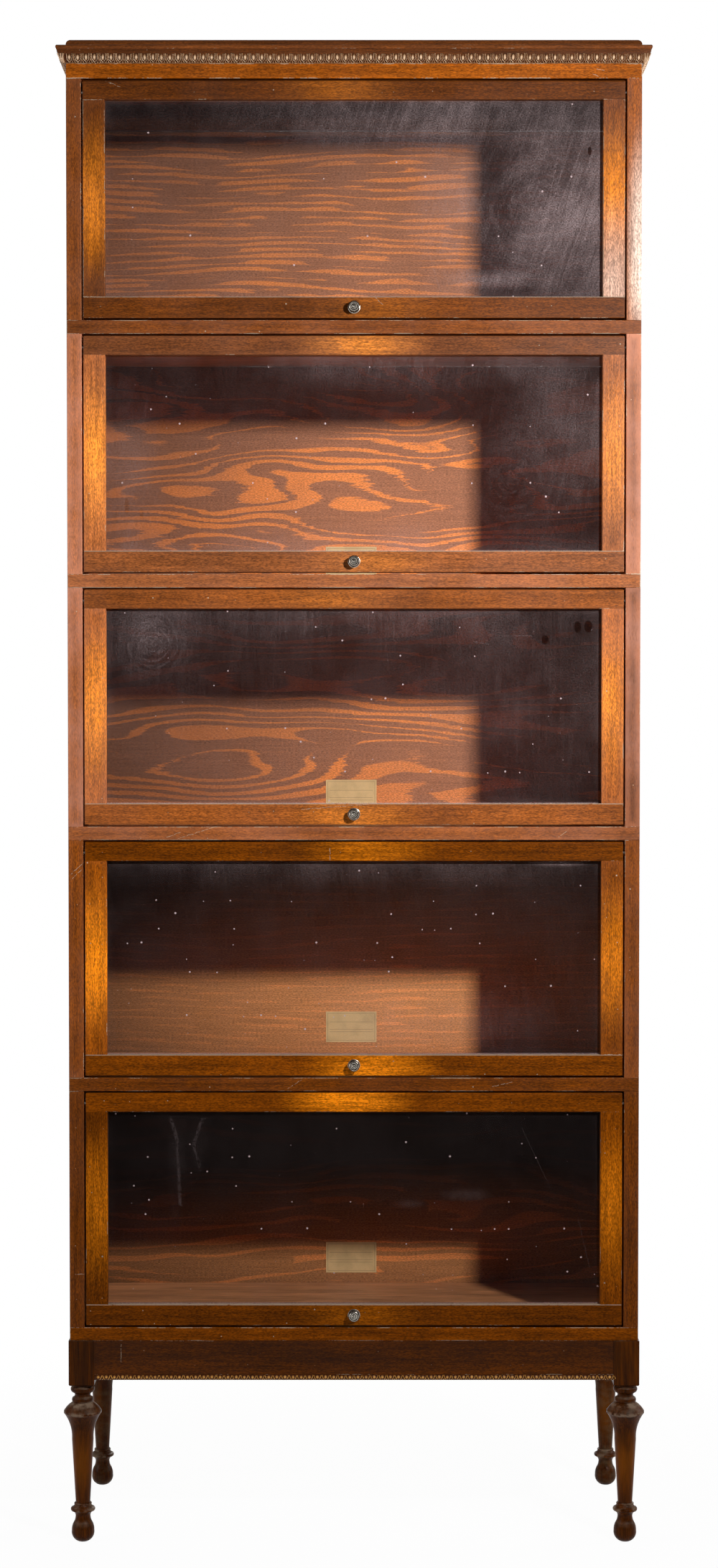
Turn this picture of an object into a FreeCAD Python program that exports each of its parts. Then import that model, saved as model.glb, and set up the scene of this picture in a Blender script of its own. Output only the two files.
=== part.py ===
"""Sectional cabinet: stacked glazed sections with receding lift-up doors, a crown and a legged base.

Millimetres. +Z is up, the doors face -Y and +X is to the right of someone facing them.
The origin is on the floor, at the middle of the cabinet's outer box.
"""
import FreeCAD, Part
import math
import os
from FreeCAD import Vector

# Case
case_width = 864.0
case_depth = 356.0
section_count = 5
section_height = 381.0
side_thickness = 22.5
bottom_thickness = 20.5
back_thickness = 8.0
back_recess = 1.0
back_rabbet_width = 10.0
back_edge_clearance = 0.5
board_edge_round = 1.2

# Door
door_thickness = 19.0
door_side_gap = 2.5
door_top_gap = 2.5
door_bottom_gap = 3.0
stile_width = 33.0
top_rail_height = 29.0
bottom_rail_height = 32.0
door_top_round = 3.0
door_edge_round = 1.2
sight_edge_chamfer = 0.8
tenon_length = 14.0
tenon_thickness = 5.5
tenon_shoulder = 5.0

# Glazing
glass_setback = 9.0
glass_thickness = 3.0
rabbet_width = 7.0
glass_edge_clearance = 0.6
bead_width = 6.4
bead_thickness = 6.5

# Knob
knob_radius = 8.6
knob_rose_radius = 9.2
knob_rose_thickness = 1.6
knob_stem_radius = 4.4
knob_stem_length = 5.0
knob_head_thickness = 6.4
knob_button_radius = 3.0
knob_button_height = 1.6
knob_groove_depth = 0.7
knob_cove_radius = 2.0
knob_head_round = 1.6
knob_screw_radius = 2.0
knob_screw_bite = 7.0
knob_screw_clearance = 0.3
knob_screw_head_radius = 4.2
knob_screw_head_thickness = 2.0

# Door pivots, shoes and runners
pivot_drop = 16.0
pivot_setback = 10.5
pin_radius = 3.0
pin_depth = 12.0
pin_clearance = 0.05
pin_end_clearance = 0.5
groove_height = 10.0
groove_depth = 9.0
shoe_clearance = 0.25
shoe_nose = 6.0
shoe_tail = 50.0
groove_end_clearance = 0.5
shoe_back_clearance = 4.0
rod_radius = 4.0
rod_setback = 40.0
rod_bite = 5.0
peg_radius = 2.5
peg_bite = 6.0
peg_proud = 2.0
peg_drop = 170.0
peg_face_cover = 1.0
runner_proud = 2.0
runner_height = 10.0
runner_front = 24.0
runner_clearance = 0.3

# Paper labels on the back panels
label_width = 83.0
label_height = 50.5
label_thickness = 0.3
label_rise = 17.0
label_offset = -4.5
labelled_sections = (2, 3, 4, 5)

# Dowels and screws
dowel_radius = 4.0
dowel_bite = 10.0
dowel_inset_y = 40.0
screw_radius = 1.8
screw_length = 22.0
corner_screw_length = 46.0
screw_head_radius = 3.8
screw_head_thickness = 2.4
screws_per_side = 3
screw_end_margin = 45.0

# Crown
frieze_height = 22.0
frieze_thickness = 20.0
bed_height = 18.5
bed_foot_step = 1.0
bed_reach = 11.0
bed_swell = 2.0
bed_fillet_height = 4.0
bed_width = 30.0
lip_thickness = 6.4
lip_overhang = 14.0
lip_nose_round = 2.8
slab_thickness = 12.1
slab_fillet_height = 3.0
slab_ovolo = 9.0

# Base
base_height = 311.0
leg_block_width = 39.0
leg_block_height = 69.0
leg_block_proud = 2.0
leg_block_chamfer = 1.5
apron_height = 52.0
apron_thickness = 19.0
apron_recess = 3.0
apron_bead_height = 8.3
apron_bead_depth = 9.0
apron_bead_proud = 2.5
apron_bead_round = 3.7
corner_block_leg = 72.0
corner_block_height = 36.0

# Turned leg, from the floor up; a swell is how far an arc bulges from its chord
foot_height = 37.0
foot_pad_radius = 8.0
foot_radius = 17.2
foot_belly_height = 16.3
foot_belly_swell = 3.2
foot_shoulder_radius = 14.4
foot_shoulder_height = 28.5
foot_shoulder_swell = 0.8
ankle_radius = 11.5
ankle_swell = -0.6
ring_cove_height = 10.0
ring_cove_swell = -2.4
ring_edge_height = 4.5
ring_edge_radius = 17.8
ring_edge_swell = 0.8
ring_top_cove_height = 4.5
ring_top_cove_swell = -0.7
astragal_height = 3.0
astragal_radius = 12.8
astragal_swell = 0.6
shaft_low_radius = 11.0
shaft_top_radius = 16.5
flare_height = 40.0
flare_swell = -3.5
cap_radius = 28.7
cap_rim_height = 3.6
cap_rim_ease = 0.7
shoulder_height = 13.4
shoulder_swell = 1.2
collar_height = 7.0
collar_radius = 15.4
collar_swell = 1.0
neck_height = 8.0
neck_swell = -3.2
bead_height = 10.0
bead_swell = 3.3
stub_height = 3.0
stub_radius = 15.0

# Places worked out from the sizes above
leg_reach = leg_block_width / 2 - leg_block_proud
rear_reach = max(cap_radius - leg_reach, leg_block_proud)
half_width = case_width / 2
case_front = (lip_overhang - rear_reach) / 2 - case_depth / 2
case_back = case_front + case_depth
inner_half = half_width - side_thickness
back_face = case_back - back_recess - back_thickness
door_half = inner_half - door_side_gap
door_back = case_front + door_thickness
sight_half = door_half - stile_width
glass_front = case_front + glass_setback
pivot_y = case_front + pivot_setback
recede_travel = back_face - shoe_back_clearance - shoe_tail - pivot_y
leg_x = half_width - leg_reach
leg_front_y = case_front + leg_reach
leg_back_y = case_back - leg_reach
case_top = base_height + section_count * section_height
axis_x = Vector(1, 0, 0)
axis_y = Vector(0, 1, 0)
axis_z = Vector(0, 0, 1)


def section_floor(number):
    """Height of the underside of a section, numbered from the top down."""
    return base_height + (section_count - number) * section_height


def door_bottom(number):
    return section_floor(number) + bottom_thickness + door_bottom_gap


def door_top(number):
    return section_floor(number) + section_height - door_top_gap


def pivot_height(number):
    return door_top(number) - pivot_drop


def box(x0, x1, y0, y1, z0, z1):
    return Part.makeBox(x1 - x0, y1 - y0, z1 - z0, Vector(x0, y0, z0))


def rod(radius, start, end):
    span = end - start
    return Part.makeCylinder(radius, span.Length, start, span)


def edges_at(shape, direction, **place):
    """Straight edges that run along a direction and lie at the given x, y or z."""
    found = []
    for edge in shape.Edges:
        run = edge.valueAt(edge.LastParameter) - edge.valueAt(edge.FirstParameter)
        if run.Length < 1e-6 or abs(run.normalize().dot(direction)) < 0.999:
            continue
        middle = edge.CenterOfMass
        if all(abs(getattr(middle, axis) - value) < 1e-4 for axis, value in place.items()):
            found.append(edge)
    return found


def mirrored(shape):
    """The same piece on the other side of the middle plane x = 0."""
    return shape.mirror(Vector(0, 0, 0), axis_x)


def export(name, *solids):
    shape = solids[0] if len(solids) == 1 else Part.makeCompound(list(solids))
    shape.exportStep("parts/" + name + ".step")


def board_screw(point, direction, length):
    """A countersunk wood screw whose head lies flush at the point and bites along the direction."""
    shank = rod(screw_radius, point, point + direction * length)
    head = Part.makeCone(screw_head_radius, screw_radius, screw_head_thickness, point, direction)
    return shank.fuse(head).removeSplitter()


def back_screws(number):
    low = section_floor(number) + bottom_thickness + screw_end_margin
    high = section_floor(number) + section_height - screw_end_margin
    x = inner_half + back_rabbet_width / 2
    screws = []
    for step in range(screws_per_side):
        z = low + (high - low) * step / max(screws_per_side - 1, 1)
        for side in (-1, 1):
            start = Vector(side * x, case_back - back_recess, z)
            screws.append(board_screw(start, Vector(0, -1, 0), screw_length))
    return screws


def seam_dowels(seam_height, x, front_y, back_y):
    low = Vector(0, 0, seam_height - dowel_bite)
    high = Vector(0, 0, seam_height + dowel_bite)
    places = [Vector(sx * x, y, 0) for sx in (-1, 1) for y in (front_y, back_y)]
    return [rod(dowel_radius, place + low, place + high) for place in places]


def all_dowels():
    """Dowels at each seam: in the leg blocks below, in the sides between sections and at the crown."""
    dowels = seam_dowels(base_height, leg_x, leg_front_y, leg_back_y)
    side_middle = half_width - side_thickness / 2
    front_y = case_front + dowel_inset_y
    back_y = case_back - dowel_inset_y
    for step in range(1, section_count + 1):
        dowels += seam_dowels(base_height + step * section_height, side_middle, front_y, back_y)
    return dowels


dowels = all_dowels()


def with_dowel_holes(shape):
    near = [dowel for dowel in dowels if dowel.BoundBox.intersect(shape.BoundBox)]
    return shape.cut(near) if near else shape


def section_bottom(number):
    floor = section_floor(number)
    top = floor + bottom_thickness
    board = box(-half_width, half_width, case_front, case_back, floor, top)
    front_edges = edges_at(board, axis_x, y=case_front) + edges_at(board, axis_z, y=case_front)
    board = board.makeFillet(board_edge_round, front_edges)
    return with_dowel_holes(board)


def shoe_groove(number):
    """The slot in the right side's inner face that guides the door's shoe."""
    z = pivot_height(number)
    front = pivot_y - shoe_nose - groove_end_clearance
    back = pivot_y + recede_travel + shoe_tail + groove_end_clearance
    half = groove_height / 2
    return box(inner_half, inner_half + groove_depth, front, back, z - half, z + half)


def section_sides(number):
    low = section_floor(number) + bottom_thickness
    high = section_floor(number) + section_height
    side = box(inner_half, half_width, case_front, case_back, low, high)
    side = side.makeFillet(board_edge_round, edges_at(side, axis_z, y=case_front))
    rabbet = box(inner_half, inner_half + back_rabbet_width, back_face, case_back, low, high)
    side = side.cut([shoe_groove(number), rabbet])
    pair = [side, mirrored(side)]
    screws = back_screws(number)
    return [with_dowel_holes(one.cut(screws)) for one in pair]


def section_back(number):
    half = inner_half + back_rabbet_width - back_edge_clearance
    low = section_floor(number) + bottom_thickness
    high = section_floor(number) + section_height - back_edge_clearance
    panel = box(-half, half, back_face, back_face + back_thickness, low, high)
    return panel.cut(back_screws(number))


def door_runners(number):
    peg_low = pivot_height(number) - peg_centre_setback() - peg_radius
    high = peg_low - runner_clearance
    low = high - runner_height
    strip = box(inner_half - runner_proud, inner_half, case_front + runner_front, back_face, low, high)
    return [strip, mirrored(strip)]


def paper_label(number):
    low = section_floor(number) + bottom_thickness + label_rise
    left = label_offset - label_width / 2
    right = label_offset + label_width / 2
    return box(left, right, back_face - label_thickness, back_face, low, low + label_height)


def peg_centre_setback():
    """How far a peg's centre lies behind the pivot line."""
    return door_thickness - pivot_setback - peg_face_cover - peg_radius


def door_peg(number):
    centre = Vector(0, pivot_y + peg_centre_setback(), pivot_height(number) - peg_drop)
    inner = centre + axis_x * (door_half - peg_bite)
    outer = centre + axis_x * (door_half + peg_proud)
    return rod(peg_radius, inner, outer)


def pin_hole(number):
    centre = Vector(door_half, pivot_y, pivot_height(number))
    inner = centre - axis_x * (pin_depth + pin_end_clearance)
    return rod(pin_radius + pin_clearance, inner, centre)


def rail_spans(number):
    """Lowest and highest heights of the bottom rail and of the top rail."""
    low = door_bottom(number)
    high = door_top(number)
    return (low, low + bottom_rail_height), (high - top_rail_height, high)


def stile_tenons(number):
    """The right stile's tenons, into the bottom rail and into the top rail."""
    (_, low_sight), (high_sight, _) = rail_spans(number)
    x0 = sight_half + tenon_shoulder
    x1 = door_half - tenon_shoulder
    y0 = case_front + (glass_setback - tenon_thickness) / 2
    y1 = y0 + tenon_thickness
    lower = box(x0, x1, y0, y1, low_sight - tenon_length, low_sight)
    upper = box(x0, x1, y0, y1, high_sight, high_sight + tenon_length)
    return [lower, upper]


def door_stiles(number):
    """Two stiles, tenoned into the rails above and below, and the peg in each stile's outer edge."""
    (_, low), (high, _) = rail_spans(number)
    stile = box(sight_half, door_half, case_front, door_back, low, high)
    stile = stile.makeFillet(door_edge_round, edges_at(stile, axis_z, y=case_front, x=door_half))
    stile = stile.makeChamfer(sight_edge_chamfer, edges_at(stile, axis_z, y=case_front, x=sight_half))
    rabbet = box(sight_half, sight_half + rabbet_width, glass_front, door_back, low, high)
    peg = door_peg(number)
    stile = stile.cut([rabbet, peg]).fuse(stile_tenons(number)).removeSplitter()
    stile = stile.cut(pin_hole(number))
    return [stile, mirrored(stile), peg, mirrored(peg)]


def eased_sight_edge(sight_edge, away):
    """The sliver planed off a rail's sight edge between the stiles."""
    corner = Vector(-sight_half, case_front, sight_edge)
    behind = corner + axis_y * sight_edge_chamfer
    beyond = corner + axis_z * away * sight_edge_chamfer
    face = Part.Face(Part.makePolygon([corner, behind, beyond, corner]))
    return face.extrude(axis_x * 2 * sight_half)


def door_rail(low, high, sight_edge, outer_round, away):
    """A rail that runs through from edge to edge of the door, away being +1 above its sight edge."""
    outer_edge = high if away > 0 else low
    rail = box(-door_half, door_half, case_front, door_back, low, high)
    rail = rail.makeFillet(outer_round, edges_at(rail, axis_x, y=case_front, z=outer_edge))
    rail = rail.makeFillet(door_edge_round, edges_at(rail, axis_z, y=case_front))
    rear_half = sight_half + rabbet_width
    rabbet_edge = sight_edge + away * rabbet_width
    rabbet_low = min(sight_edge, rabbet_edge)
    rabbet_high = max(sight_edge, rabbet_edge)
    rabbet = box(-rear_half, rear_half, glass_front, door_back, rabbet_low, rabbet_high)
    return rail.cut([rabbet, eased_sight_edge(sight_edge, away)])


def door_rails(number):
    (low, low_sight), (high_sight, high) = rail_spans(number)
    lower_tenon, upper_tenon = stile_tenons(number)
    pin = pin_hole(number)
    bottom = door_rail(low, low_sight, low_sight, door_edge_round, -1)
    bottom = bottom.cut([lower_tenon, mirrored(lower_tenon), screw_clearance_hole(number)])
    top = door_rail(high_sight, high, high_sight, door_top_round, 1)
    top = top.cut([upper_tenon, mirrored(upper_tenon), pin, mirrored(pin)])
    return [bottom, top]


def door_glass(number):
    (_, low_sight), (high_sight, _) = rail_spans(number)
    cover = rabbet_width - glass_edge_clearance
    half = sight_half + cover
    back = glass_front + glass_thickness
    return box(-half, half, glass_front, back, low_sight - cover, high_sight + cover)


def glazing_beads(number):
    (_, low_sight), (high_sight, _) = rail_spans(number)
    front = glass_front + glass_thickness
    back = front + bead_thickness
    outer = sight_half + rabbet_width
    low = low_sight - rabbet_width
    high = high_sight + rabbet_width
    upright = box(outer - bead_width, outer, front, back, low, high)
    inner = outer - bead_width
    lower = box(-inner, inner, front, back, low, low + bead_width)
    upper = box(-inner, inner, front, back, high - bead_width, high)
    return [upright, mirrored(upright), lower, upper]


def knob_height(number):
    return door_bottom(number) + bottom_rail_height / 2


def screw_clearance_hole(number):
    centre = Vector(0, case_front, knob_height(number))
    return rod(knob_screw_radius + knob_screw_clearance, centre, centre + axis_y * door_thickness)


def arc_middle(start, end, swell):
    """The point beside the middle of a chord that an arc of the given swell passes through."""
    out = Vector(end.y - start.y, start.x - end.x, 0).normalize()
    return (start + end) / 2 + out * swell


def turned(rows, base, direction):
    """A solid turned about a line: radius, height and the swell of the stretch that leads there."""
    edges = []
    here = Vector(*rows[0])
    for radius, height, swell in rows[1:]:
        there = Vector(radius, height, 0)
        if swell:
            edges.append(Part.Arc(here, arc_middle(here, there, swell), there).toShape())
        else:
            edges.append(Part.LineSegment(here, there).toShape())
        here = there
    face = Part.Face(Part.Wire(edges))
    solid = face.revolve(Vector(0, 0, 0), axis_y, 360)
    solid.Placement = FreeCAD.Placement(base, FreeCAD.Rotation(axis_y, direction)).multiply(solid.Placement)
    return solid


def quarter_swell(radius):
    """Swell of a quarter round."""
    return radius * (1 - math.sqrt(0.5))


def dome_swell(radius, rise):
    """Swell of the half section of a round cap, from its rim to its top."""
    chord = math.hypot(radius, rise)
    ball = chord ** 2 / (2 * rise)
    return ball - math.sqrt(ball ** 2 - (chord / 2) ** 2)


def knob_and_screw(number):
    face = Vector(0, case_front, knob_height(number))
    rose = knob_rose_thickness
    stem = rose + knob_stem_length
    head = stem + knob_head_thickness
    button = head + knob_button_height
    groove = head - knob_groove_depth
    cove = knob_cove_radius
    shoulder = knob_radius - knob_head_round
    profile = [
        (0, 0, 0),
        (knob_rose_radius, 0, 0),
        (knob_rose_radius, rose / 2, 0),
        (knob_stem_radius + cove, rose, 0),
        (knob_stem_radius, rose + cove, -quarter_swell(cove)),
        (knob_stem_radius, stem - cove / 2, 0),
        (shoulder, stem, 0),
        (shoulder, groove, knob_head_round),
        (shoulder - knob_groove_depth, head, 0),
        (shoulder - 2 * knob_groove_depth, groove, 0),
        (knob_button_radius, groove, 0),
        (0, button, dome_swell(knob_button_radius, button - groove)),
        (0, 0, 0),
    ]
    knob = turned(profile, face, Vector(0, -1, 0))
    rear = face + axis_y * door_thickness
    tip = face - axis_y * knob_screw_bite
    shank = rod(knob_screw_radius, tip, rear)
    cheese_head = rod(knob_screw_head_radius, rear, rear + axis_y * knob_screw_head_thickness)
    screw = shank.fuse(cheese_head).removeSplitter()
    return [knob.cut(shank), screw]


def carriage(number):
    z = pivot_height(number)
    half = groove_height / 2 - shoe_clearance
    inner = inner_half + shoe_clearance
    outer = inner_half + groove_depth - shoe_clearance
    shoe = box(inner, outer, pivot_y - shoe_nose, pivot_y + shoe_tail, z - half, z + half)
    line = Vector(0, pivot_y, z)
    pin = rod(pin_radius, line + axis_x * (door_half - pin_depth), line + axis_x * outer)
    rod_line = Vector(0, pivot_y + rod_setback, z)
    reach = axis_x * (inner + rod_bite)
    equalizer = rod(rod_radius, rod_line - reach, rod_line + reach)
    shoe = shoe.fuse(pin).removeSplitter().cut(equalizer)
    return [shoe, mirrored(shoe), equalizer]


def bed_profile(outer, seat):
    """Section of the bed moulding in the plane of reach and height, as a face."""
    foot = outer + bed_foot_step
    front = outer + bed_reach
    shoulder = seat + bed_height - bed_fillet_height
    top = seat + bed_height
    inner = outer - bed_width + bed_reach
    corners = [
        Vector(foot, seat, 0),
        Vector(front, shoulder, 0),
        Vector(front + bed_foot_step, shoulder, 0),
        Vector(front + bed_foot_step, top, 0),
        Vector(inner, top, 0),
        Vector(inner, seat, 0),
    ]
    swell = arc_middle(corners[0], corners[1], bed_swell)
    edges = [Part.Arc(corners[0], swell, corners[1]).toShape()]
    for start, end in zip(corners[1:], corners[2:] + corners[:1]):
        edges.append(Part.LineSegment(start, end).toShape())
    face = Part.Face(Part.Wire(edges))
    return face.rotated(Vector(0, 0, 0), axis_x, 90)


def mitre_wedge(corner_x, corner_y, low, high):
    """The half of the front right corner that belongs to the front run of a mitred moulding."""
    far = 2 * case_width
    points = [
        Vector(corner_x - far, corner_y + far, low),
        Vector(corner_x + far, corner_y - far, low),
        Vector(corner_x - far, corner_y - far, low),
    ]
    face = Part.Face(Part.makePolygon(points + points[:1]))
    return face.extrude(Vector(0, 0, high - low))


def crown_bed():
    """Bed moulding: a front run and two side runs mitred at the front corners, closed by a plain back rail."""
    seat = case_top + frieze_height
    reach = lip_overhang
    inner = half_width - bed_width + bed_reach
    back_rail = box(-inner, inner, case_back - frieze_thickness, case_back, seat, seat + bed_height)
    side_run = bed_profile(half_width, seat)
    side_run = side_run.translated(Vector(0, case_front - reach, 0))
    side_run = side_run.extrude(Vector(0, case_depth + reach, 0))
    front_run = bed_profile(0, seat)
    front_run = front_run.rotated(Vector(0, 0, 0), axis_z, -90)
    front_run = front_run.translated(Vector(-half_width - reach, case_front, 0))
    front_run = front_run.extrude(Vector(case_width + 2 * reach, 0, 0))
    wedge = mitre_wedge(half_width, case_front, seat, seat + bed_height)
    side_run = side_run.cut(wedge)
    front_run = front_run.common(wedge).common(mirrored(wedge))
    return [front_run, side_run, mirrored(side_run), back_rail]


def crown_frieze():
    low = case_top
    high = case_top + frieze_height
    inner = half_width - frieze_thickness
    front = box(-half_width, half_width, case_front, case_front + frieze_thickness, low, high)
    front = front.makeFillet(board_edge_round, edges_at(front, axis_z, y=case_front))
    back = box(-half_width, half_width, case_back - frieze_thickness, case_back, low, high)
    side = box(inner, half_width, case_front + frieze_thickness, case_back - frieze_thickness, low, high)
    return [with_dowel_holes(board) for board in (front, back, side, mirrored(side))]


def crown_lip():
    low = case_top + frieze_height + bed_height
    high = low + lip_thickness
    half = half_width + lip_overhang
    front = case_front - lip_overhang
    board = box(-half, half, front, case_back, low, high)
    nose = []
    for z in (low, high):
        nose += edges_at(board, axis_x, y=front, z=z)
        nose += edges_at(board, axis_y, x=half, z=z) + edges_at(board, axis_y, x=-half, z=z)
    return board.makeFillet(lip_nose_round, nose)


def crown_slab():
    """Top board whose front and side edges are rounded over above a plain fillet."""
    low = case_top + frieze_height + bed_height + lip_thickness
    high = low + slab_thickness
    board = box(-half_width, half_width, case_front, case_back, low, high)
    edges = edges_at(board, axis_x, y=case_front, z=high)
    edges += edges_at(board, axis_y, x=half_width, z=high) + edges_at(board, axis_y, x=-half_width, z=high)
    drop = slab_thickness - slab_fillet_height
    return board.makeFillet(min(slab_ovolo, drop), edges)


def leg_profile():
    ring_low = foot_height + ring_cove_height
    ring_high = ring_low + ring_edge_height
    astragal_low = ring_high + ring_top_cove_height
    shaft_low = astragal_low + astragal_height
    turned_top = base_height - leg_block_height
    bead_low = turned_top - stub_height - bead_height
    neck_low = bead_low - neck_height
    collar_low = neck_low - collar_height
    shoulder_low = collar_low - shoulder_height
    rim_low = shoulder_low - cap_rim_height
    return [
        (0, 0, 0),
        (foot_pad_radius, 0, 0),
        (foot_radius, foot_belly_height, foot_belly_swell),
        (foot_shoulder_radius, foot_shoulder_height, foot_shoulder_swell),
        (ankle_radius, foot_height, ankle_swell),
        (ring_edge_radius, ring_low, ring_cove_swell),
        (ring_edge_radius, ring_high, ring_edge_swell),
        (astragal_radius, astragal_low, ring_top_cove_swell),
        (astragal_radius, shaft_low, astragal_swell),
        (shaft_low_radius, shaft_low, 0),
        (shaft_top_radius, rim_low - flare_height, 0),
        (cap_radius - cap_rim_ease, rim_low, flare_swell),
        (cap_radius, rim_low + cap_rim_ease, 0),
        (cap_radius, shoulder_low, 0),
        (collar_radius, collar_low, shoulder_swell),
        (collar_radius, neck_low, collar_swell),
        (stub_radius, bead_low, neck_swell),
        (stub_radius, bead_low + bead_height, bead_swell),
        (stub_radius, turned_top, 0),
        (0, turned_top, 0),
        (0, 0, 0),
    ]


def leg(x, y):
    half = leg_block_width / 2
    low = base_height - leg_block_height
    block = box(x - half, x + half, y - half, y + half, low, base_height)
    corners = []
    for side_x in (x - half, x + half):
        for side_y in (y - half, y + half):
            corners += edges_at(block, axis_z, x=side_x, y=side_y)
    bottom = [edge for edge in block.Edges if abs(edge.BoundBox.ZMax - low) < 1e-4]
    block = block.makeChamfer(leg_block_chamfer, corners + bottom)
    spindle = turned(leg_profile(), Vector(x, y, 0), axis_z)
    whole = block.fuse(spindle).removeSplitter()
    return with_dowel_holes(whole).cut(corner_screws())


def apron_lines():
    """Outer face of each apron and where it runs between the leg blocks."""
    face_x = half_width + leg_block_proud - apron_recess
    front = case_front - leg_block_proud + apron_recess
    back = case_back + leg_block_proud - apron_recess
    run_x = leg_x - leg_block_width / 2
    run_y0 = leg_front_y + leg_block_width / 2
    run_y1 = leg_back_y - leg_block_width / 2
    return face_x, front, back, run_x, run_y0, run_y1


def aprons():
    face_x, front, back, run_x, run_y0, run_y1 = apron_lines()
    low = base_height - apron_height
    front_board = box(-run_x, run_x, front, front + apron_thickness, low, base_height)
    back_board = box(-run_x, run_x, back - apron_thickness, back, low, base_height)
    side = box(face_x - apron_thickness, face_x, run_y0, run_y1, low, base_height)
    return [front_board, back_board, side, mirrored(side)]


def apron_beads():
    """Half-round bead under the front apron and the two side aprons."""
    face_x, front, _, run_x, run_y0, run_y1 = apron_lines()
    high = base_height - apron_height
    low = high - apron_bead_height
    outer = front - apron_bead_proud
    front_bead = box(-run_x, run_x, outer, outer + apron_bead_depth, low, high)
    front_bead = front_bead.makeFillet(apron_bead_round, edges_at(front_bead, axis_x, y=outer))
    outer_x = face_x + apron_bead_proud
    side_bead = box(outer_x - apron_bead_depth, outer_x, run_y0, run_y1, low, high)
    side_bead = side_bead.makeFillet(apron_bead_round, edges_at(side_bead, axis_y, x=outer_x))
    return [front_bead, side_bead, mirrored(side_bead)]


def corner_blocks():
    """Three-cornered blocks glued inside the apron corners, cut round the leg blocks."""
    face_x, front, back, _, _, _ = apron_lines()
    high = base_height
    low = high - corner_block_height
    half = leg_block_width / 2
    blocks = []
    front_corner = (front + apron_thickness, 1, leg_front_y)
    back_corner = (back - apron_thickness, -1, leg_back_y)
    for corner_y, along, leg_y in (front_corner, back_corner):
        x = face_x - apron_thickness
        corner = Vector(x, corner_y, low)
        points = [corner, corner - axis_x * corner_block_leg, corner + axis_y * along * corner_block_leg]
        prism = Part.Face(Part.makePolygon(points + points[:1])).extrude(Vector(0, 0, high - low))
        block = prism.cut(box(leg_x - half, leg_x + half, leg_y - half, leg_y + half, low, high))
        blocks += [block, mirrored(block)]
    return blocks


def corner_screws():
    """One screw through each corner block into its leg block, along the diagonal."""
    face_x, front, back, _, _, _ = apron_lines()
    z = base_height - corner_block_height / 2
    screws = []
    for corner_y, along in ((front + apron_thickness, 1), (back - apron_thickness, -1)):
        x = face_x - apron_thickness
        head = Vector(x - corner_block_leg / 2, corner_y + along * corner_block_leg / 2, z)
        inward = Vector(1, -along, 0).normalize()
        screw = board_screw(head, inward, corner_screw_length)
        screws += [screw, mirrored(screw)]
    return screws


def build():
    os.makedirs("parts", exist_ok=True)
    wood_screws = corner_screws()
    runners = []
    labels = []
    for number in range(1, section_count + 1):
        section = "section_%d_" % number
        export(section + "bottom_board", section_bottom(number))
        export(section + "sides", *section_sides(number))
        export(section + "back_panel", section_back(number))
        door = "door_%d_" % number
        export(door + "stiles", *door_stiles(number))
        export(door + "rails", *door_rails(number))
        export(door + "glass", door_glass(number))
        export(door + "glazing_beads", *glazing_beads(number))
        export(door + "knob", *knob_and_screw(number))
        export("carriage_%d" % number, *carriage(number))
        runners += door_runners(number)
        wood_screws += back_screws(number)
        if number in labelled_sections:
            labels.append(paper_label(number))
    export("door_runners", *runners)
    export("paper_labels", *labels)
    export("wood_screws", *wood_screws)
    export("locating_dowels", *dowels)
    export("crown_frieze", *crown_frieze())
    export("crown_bed_moulding", *crown_bed())
    export("crown_lip", crown_lip())
    export("crown_top_board", crown_slab())
    export("leg_front_left", leg(-leg_x, leg_front_y))
    export("leg_front_right", leg(leg_x, leg_front_y))
    export("leg_back_left", leg(-leg_x, leg_back_y))
    export("leg_back_right", leg(leg_x, leg_back_y))
    export("aprons", *aprons())
    export("apron_beads", *apron_beads())
    screws = corner_screws()
    export("corner_blocks", *[block.cut(screws) for block in corner_blocks()])


build()
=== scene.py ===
"""Looks of the stacked record cabinet: finishes, carving, dusty glass, studio light and camera.

Metres, in the frame of the solids: +Z up, doors facing -Y, feet on z = 0. Sections count from the top.
"""
import math
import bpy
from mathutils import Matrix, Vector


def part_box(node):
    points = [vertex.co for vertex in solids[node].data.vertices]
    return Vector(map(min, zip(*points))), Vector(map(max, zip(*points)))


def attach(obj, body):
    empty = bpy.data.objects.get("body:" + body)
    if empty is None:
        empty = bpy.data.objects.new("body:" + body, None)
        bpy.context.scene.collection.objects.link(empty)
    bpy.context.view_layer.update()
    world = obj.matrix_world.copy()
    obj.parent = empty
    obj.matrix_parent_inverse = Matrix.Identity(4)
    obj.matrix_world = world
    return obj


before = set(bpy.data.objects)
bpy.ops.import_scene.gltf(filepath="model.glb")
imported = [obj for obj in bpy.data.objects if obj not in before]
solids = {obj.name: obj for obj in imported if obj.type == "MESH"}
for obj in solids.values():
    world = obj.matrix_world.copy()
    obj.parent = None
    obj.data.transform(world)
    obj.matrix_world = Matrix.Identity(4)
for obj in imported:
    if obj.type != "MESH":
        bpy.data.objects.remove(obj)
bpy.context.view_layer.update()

from types import SimpleNamespace

import bmesh
import bpy
from mathutils import Vector

sections = range(1, 6)

# Lines of the cabinet, read from its solids
board_low, board_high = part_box("section_1_bottom_board")
half_width = board_high.x
case_front = board_low.y
case_back = board_high.y
section_pitch = board_low.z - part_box("section_2_bottom_board")[0].z
inner_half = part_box("door_runners")[1].x
door_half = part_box("door_1_rails")[1].x

# The rails and stiles cover the edge of the glass by this much
glass_cover = 0.0064
sight_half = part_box("door_1_glass")[1].x - glass_cover

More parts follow.
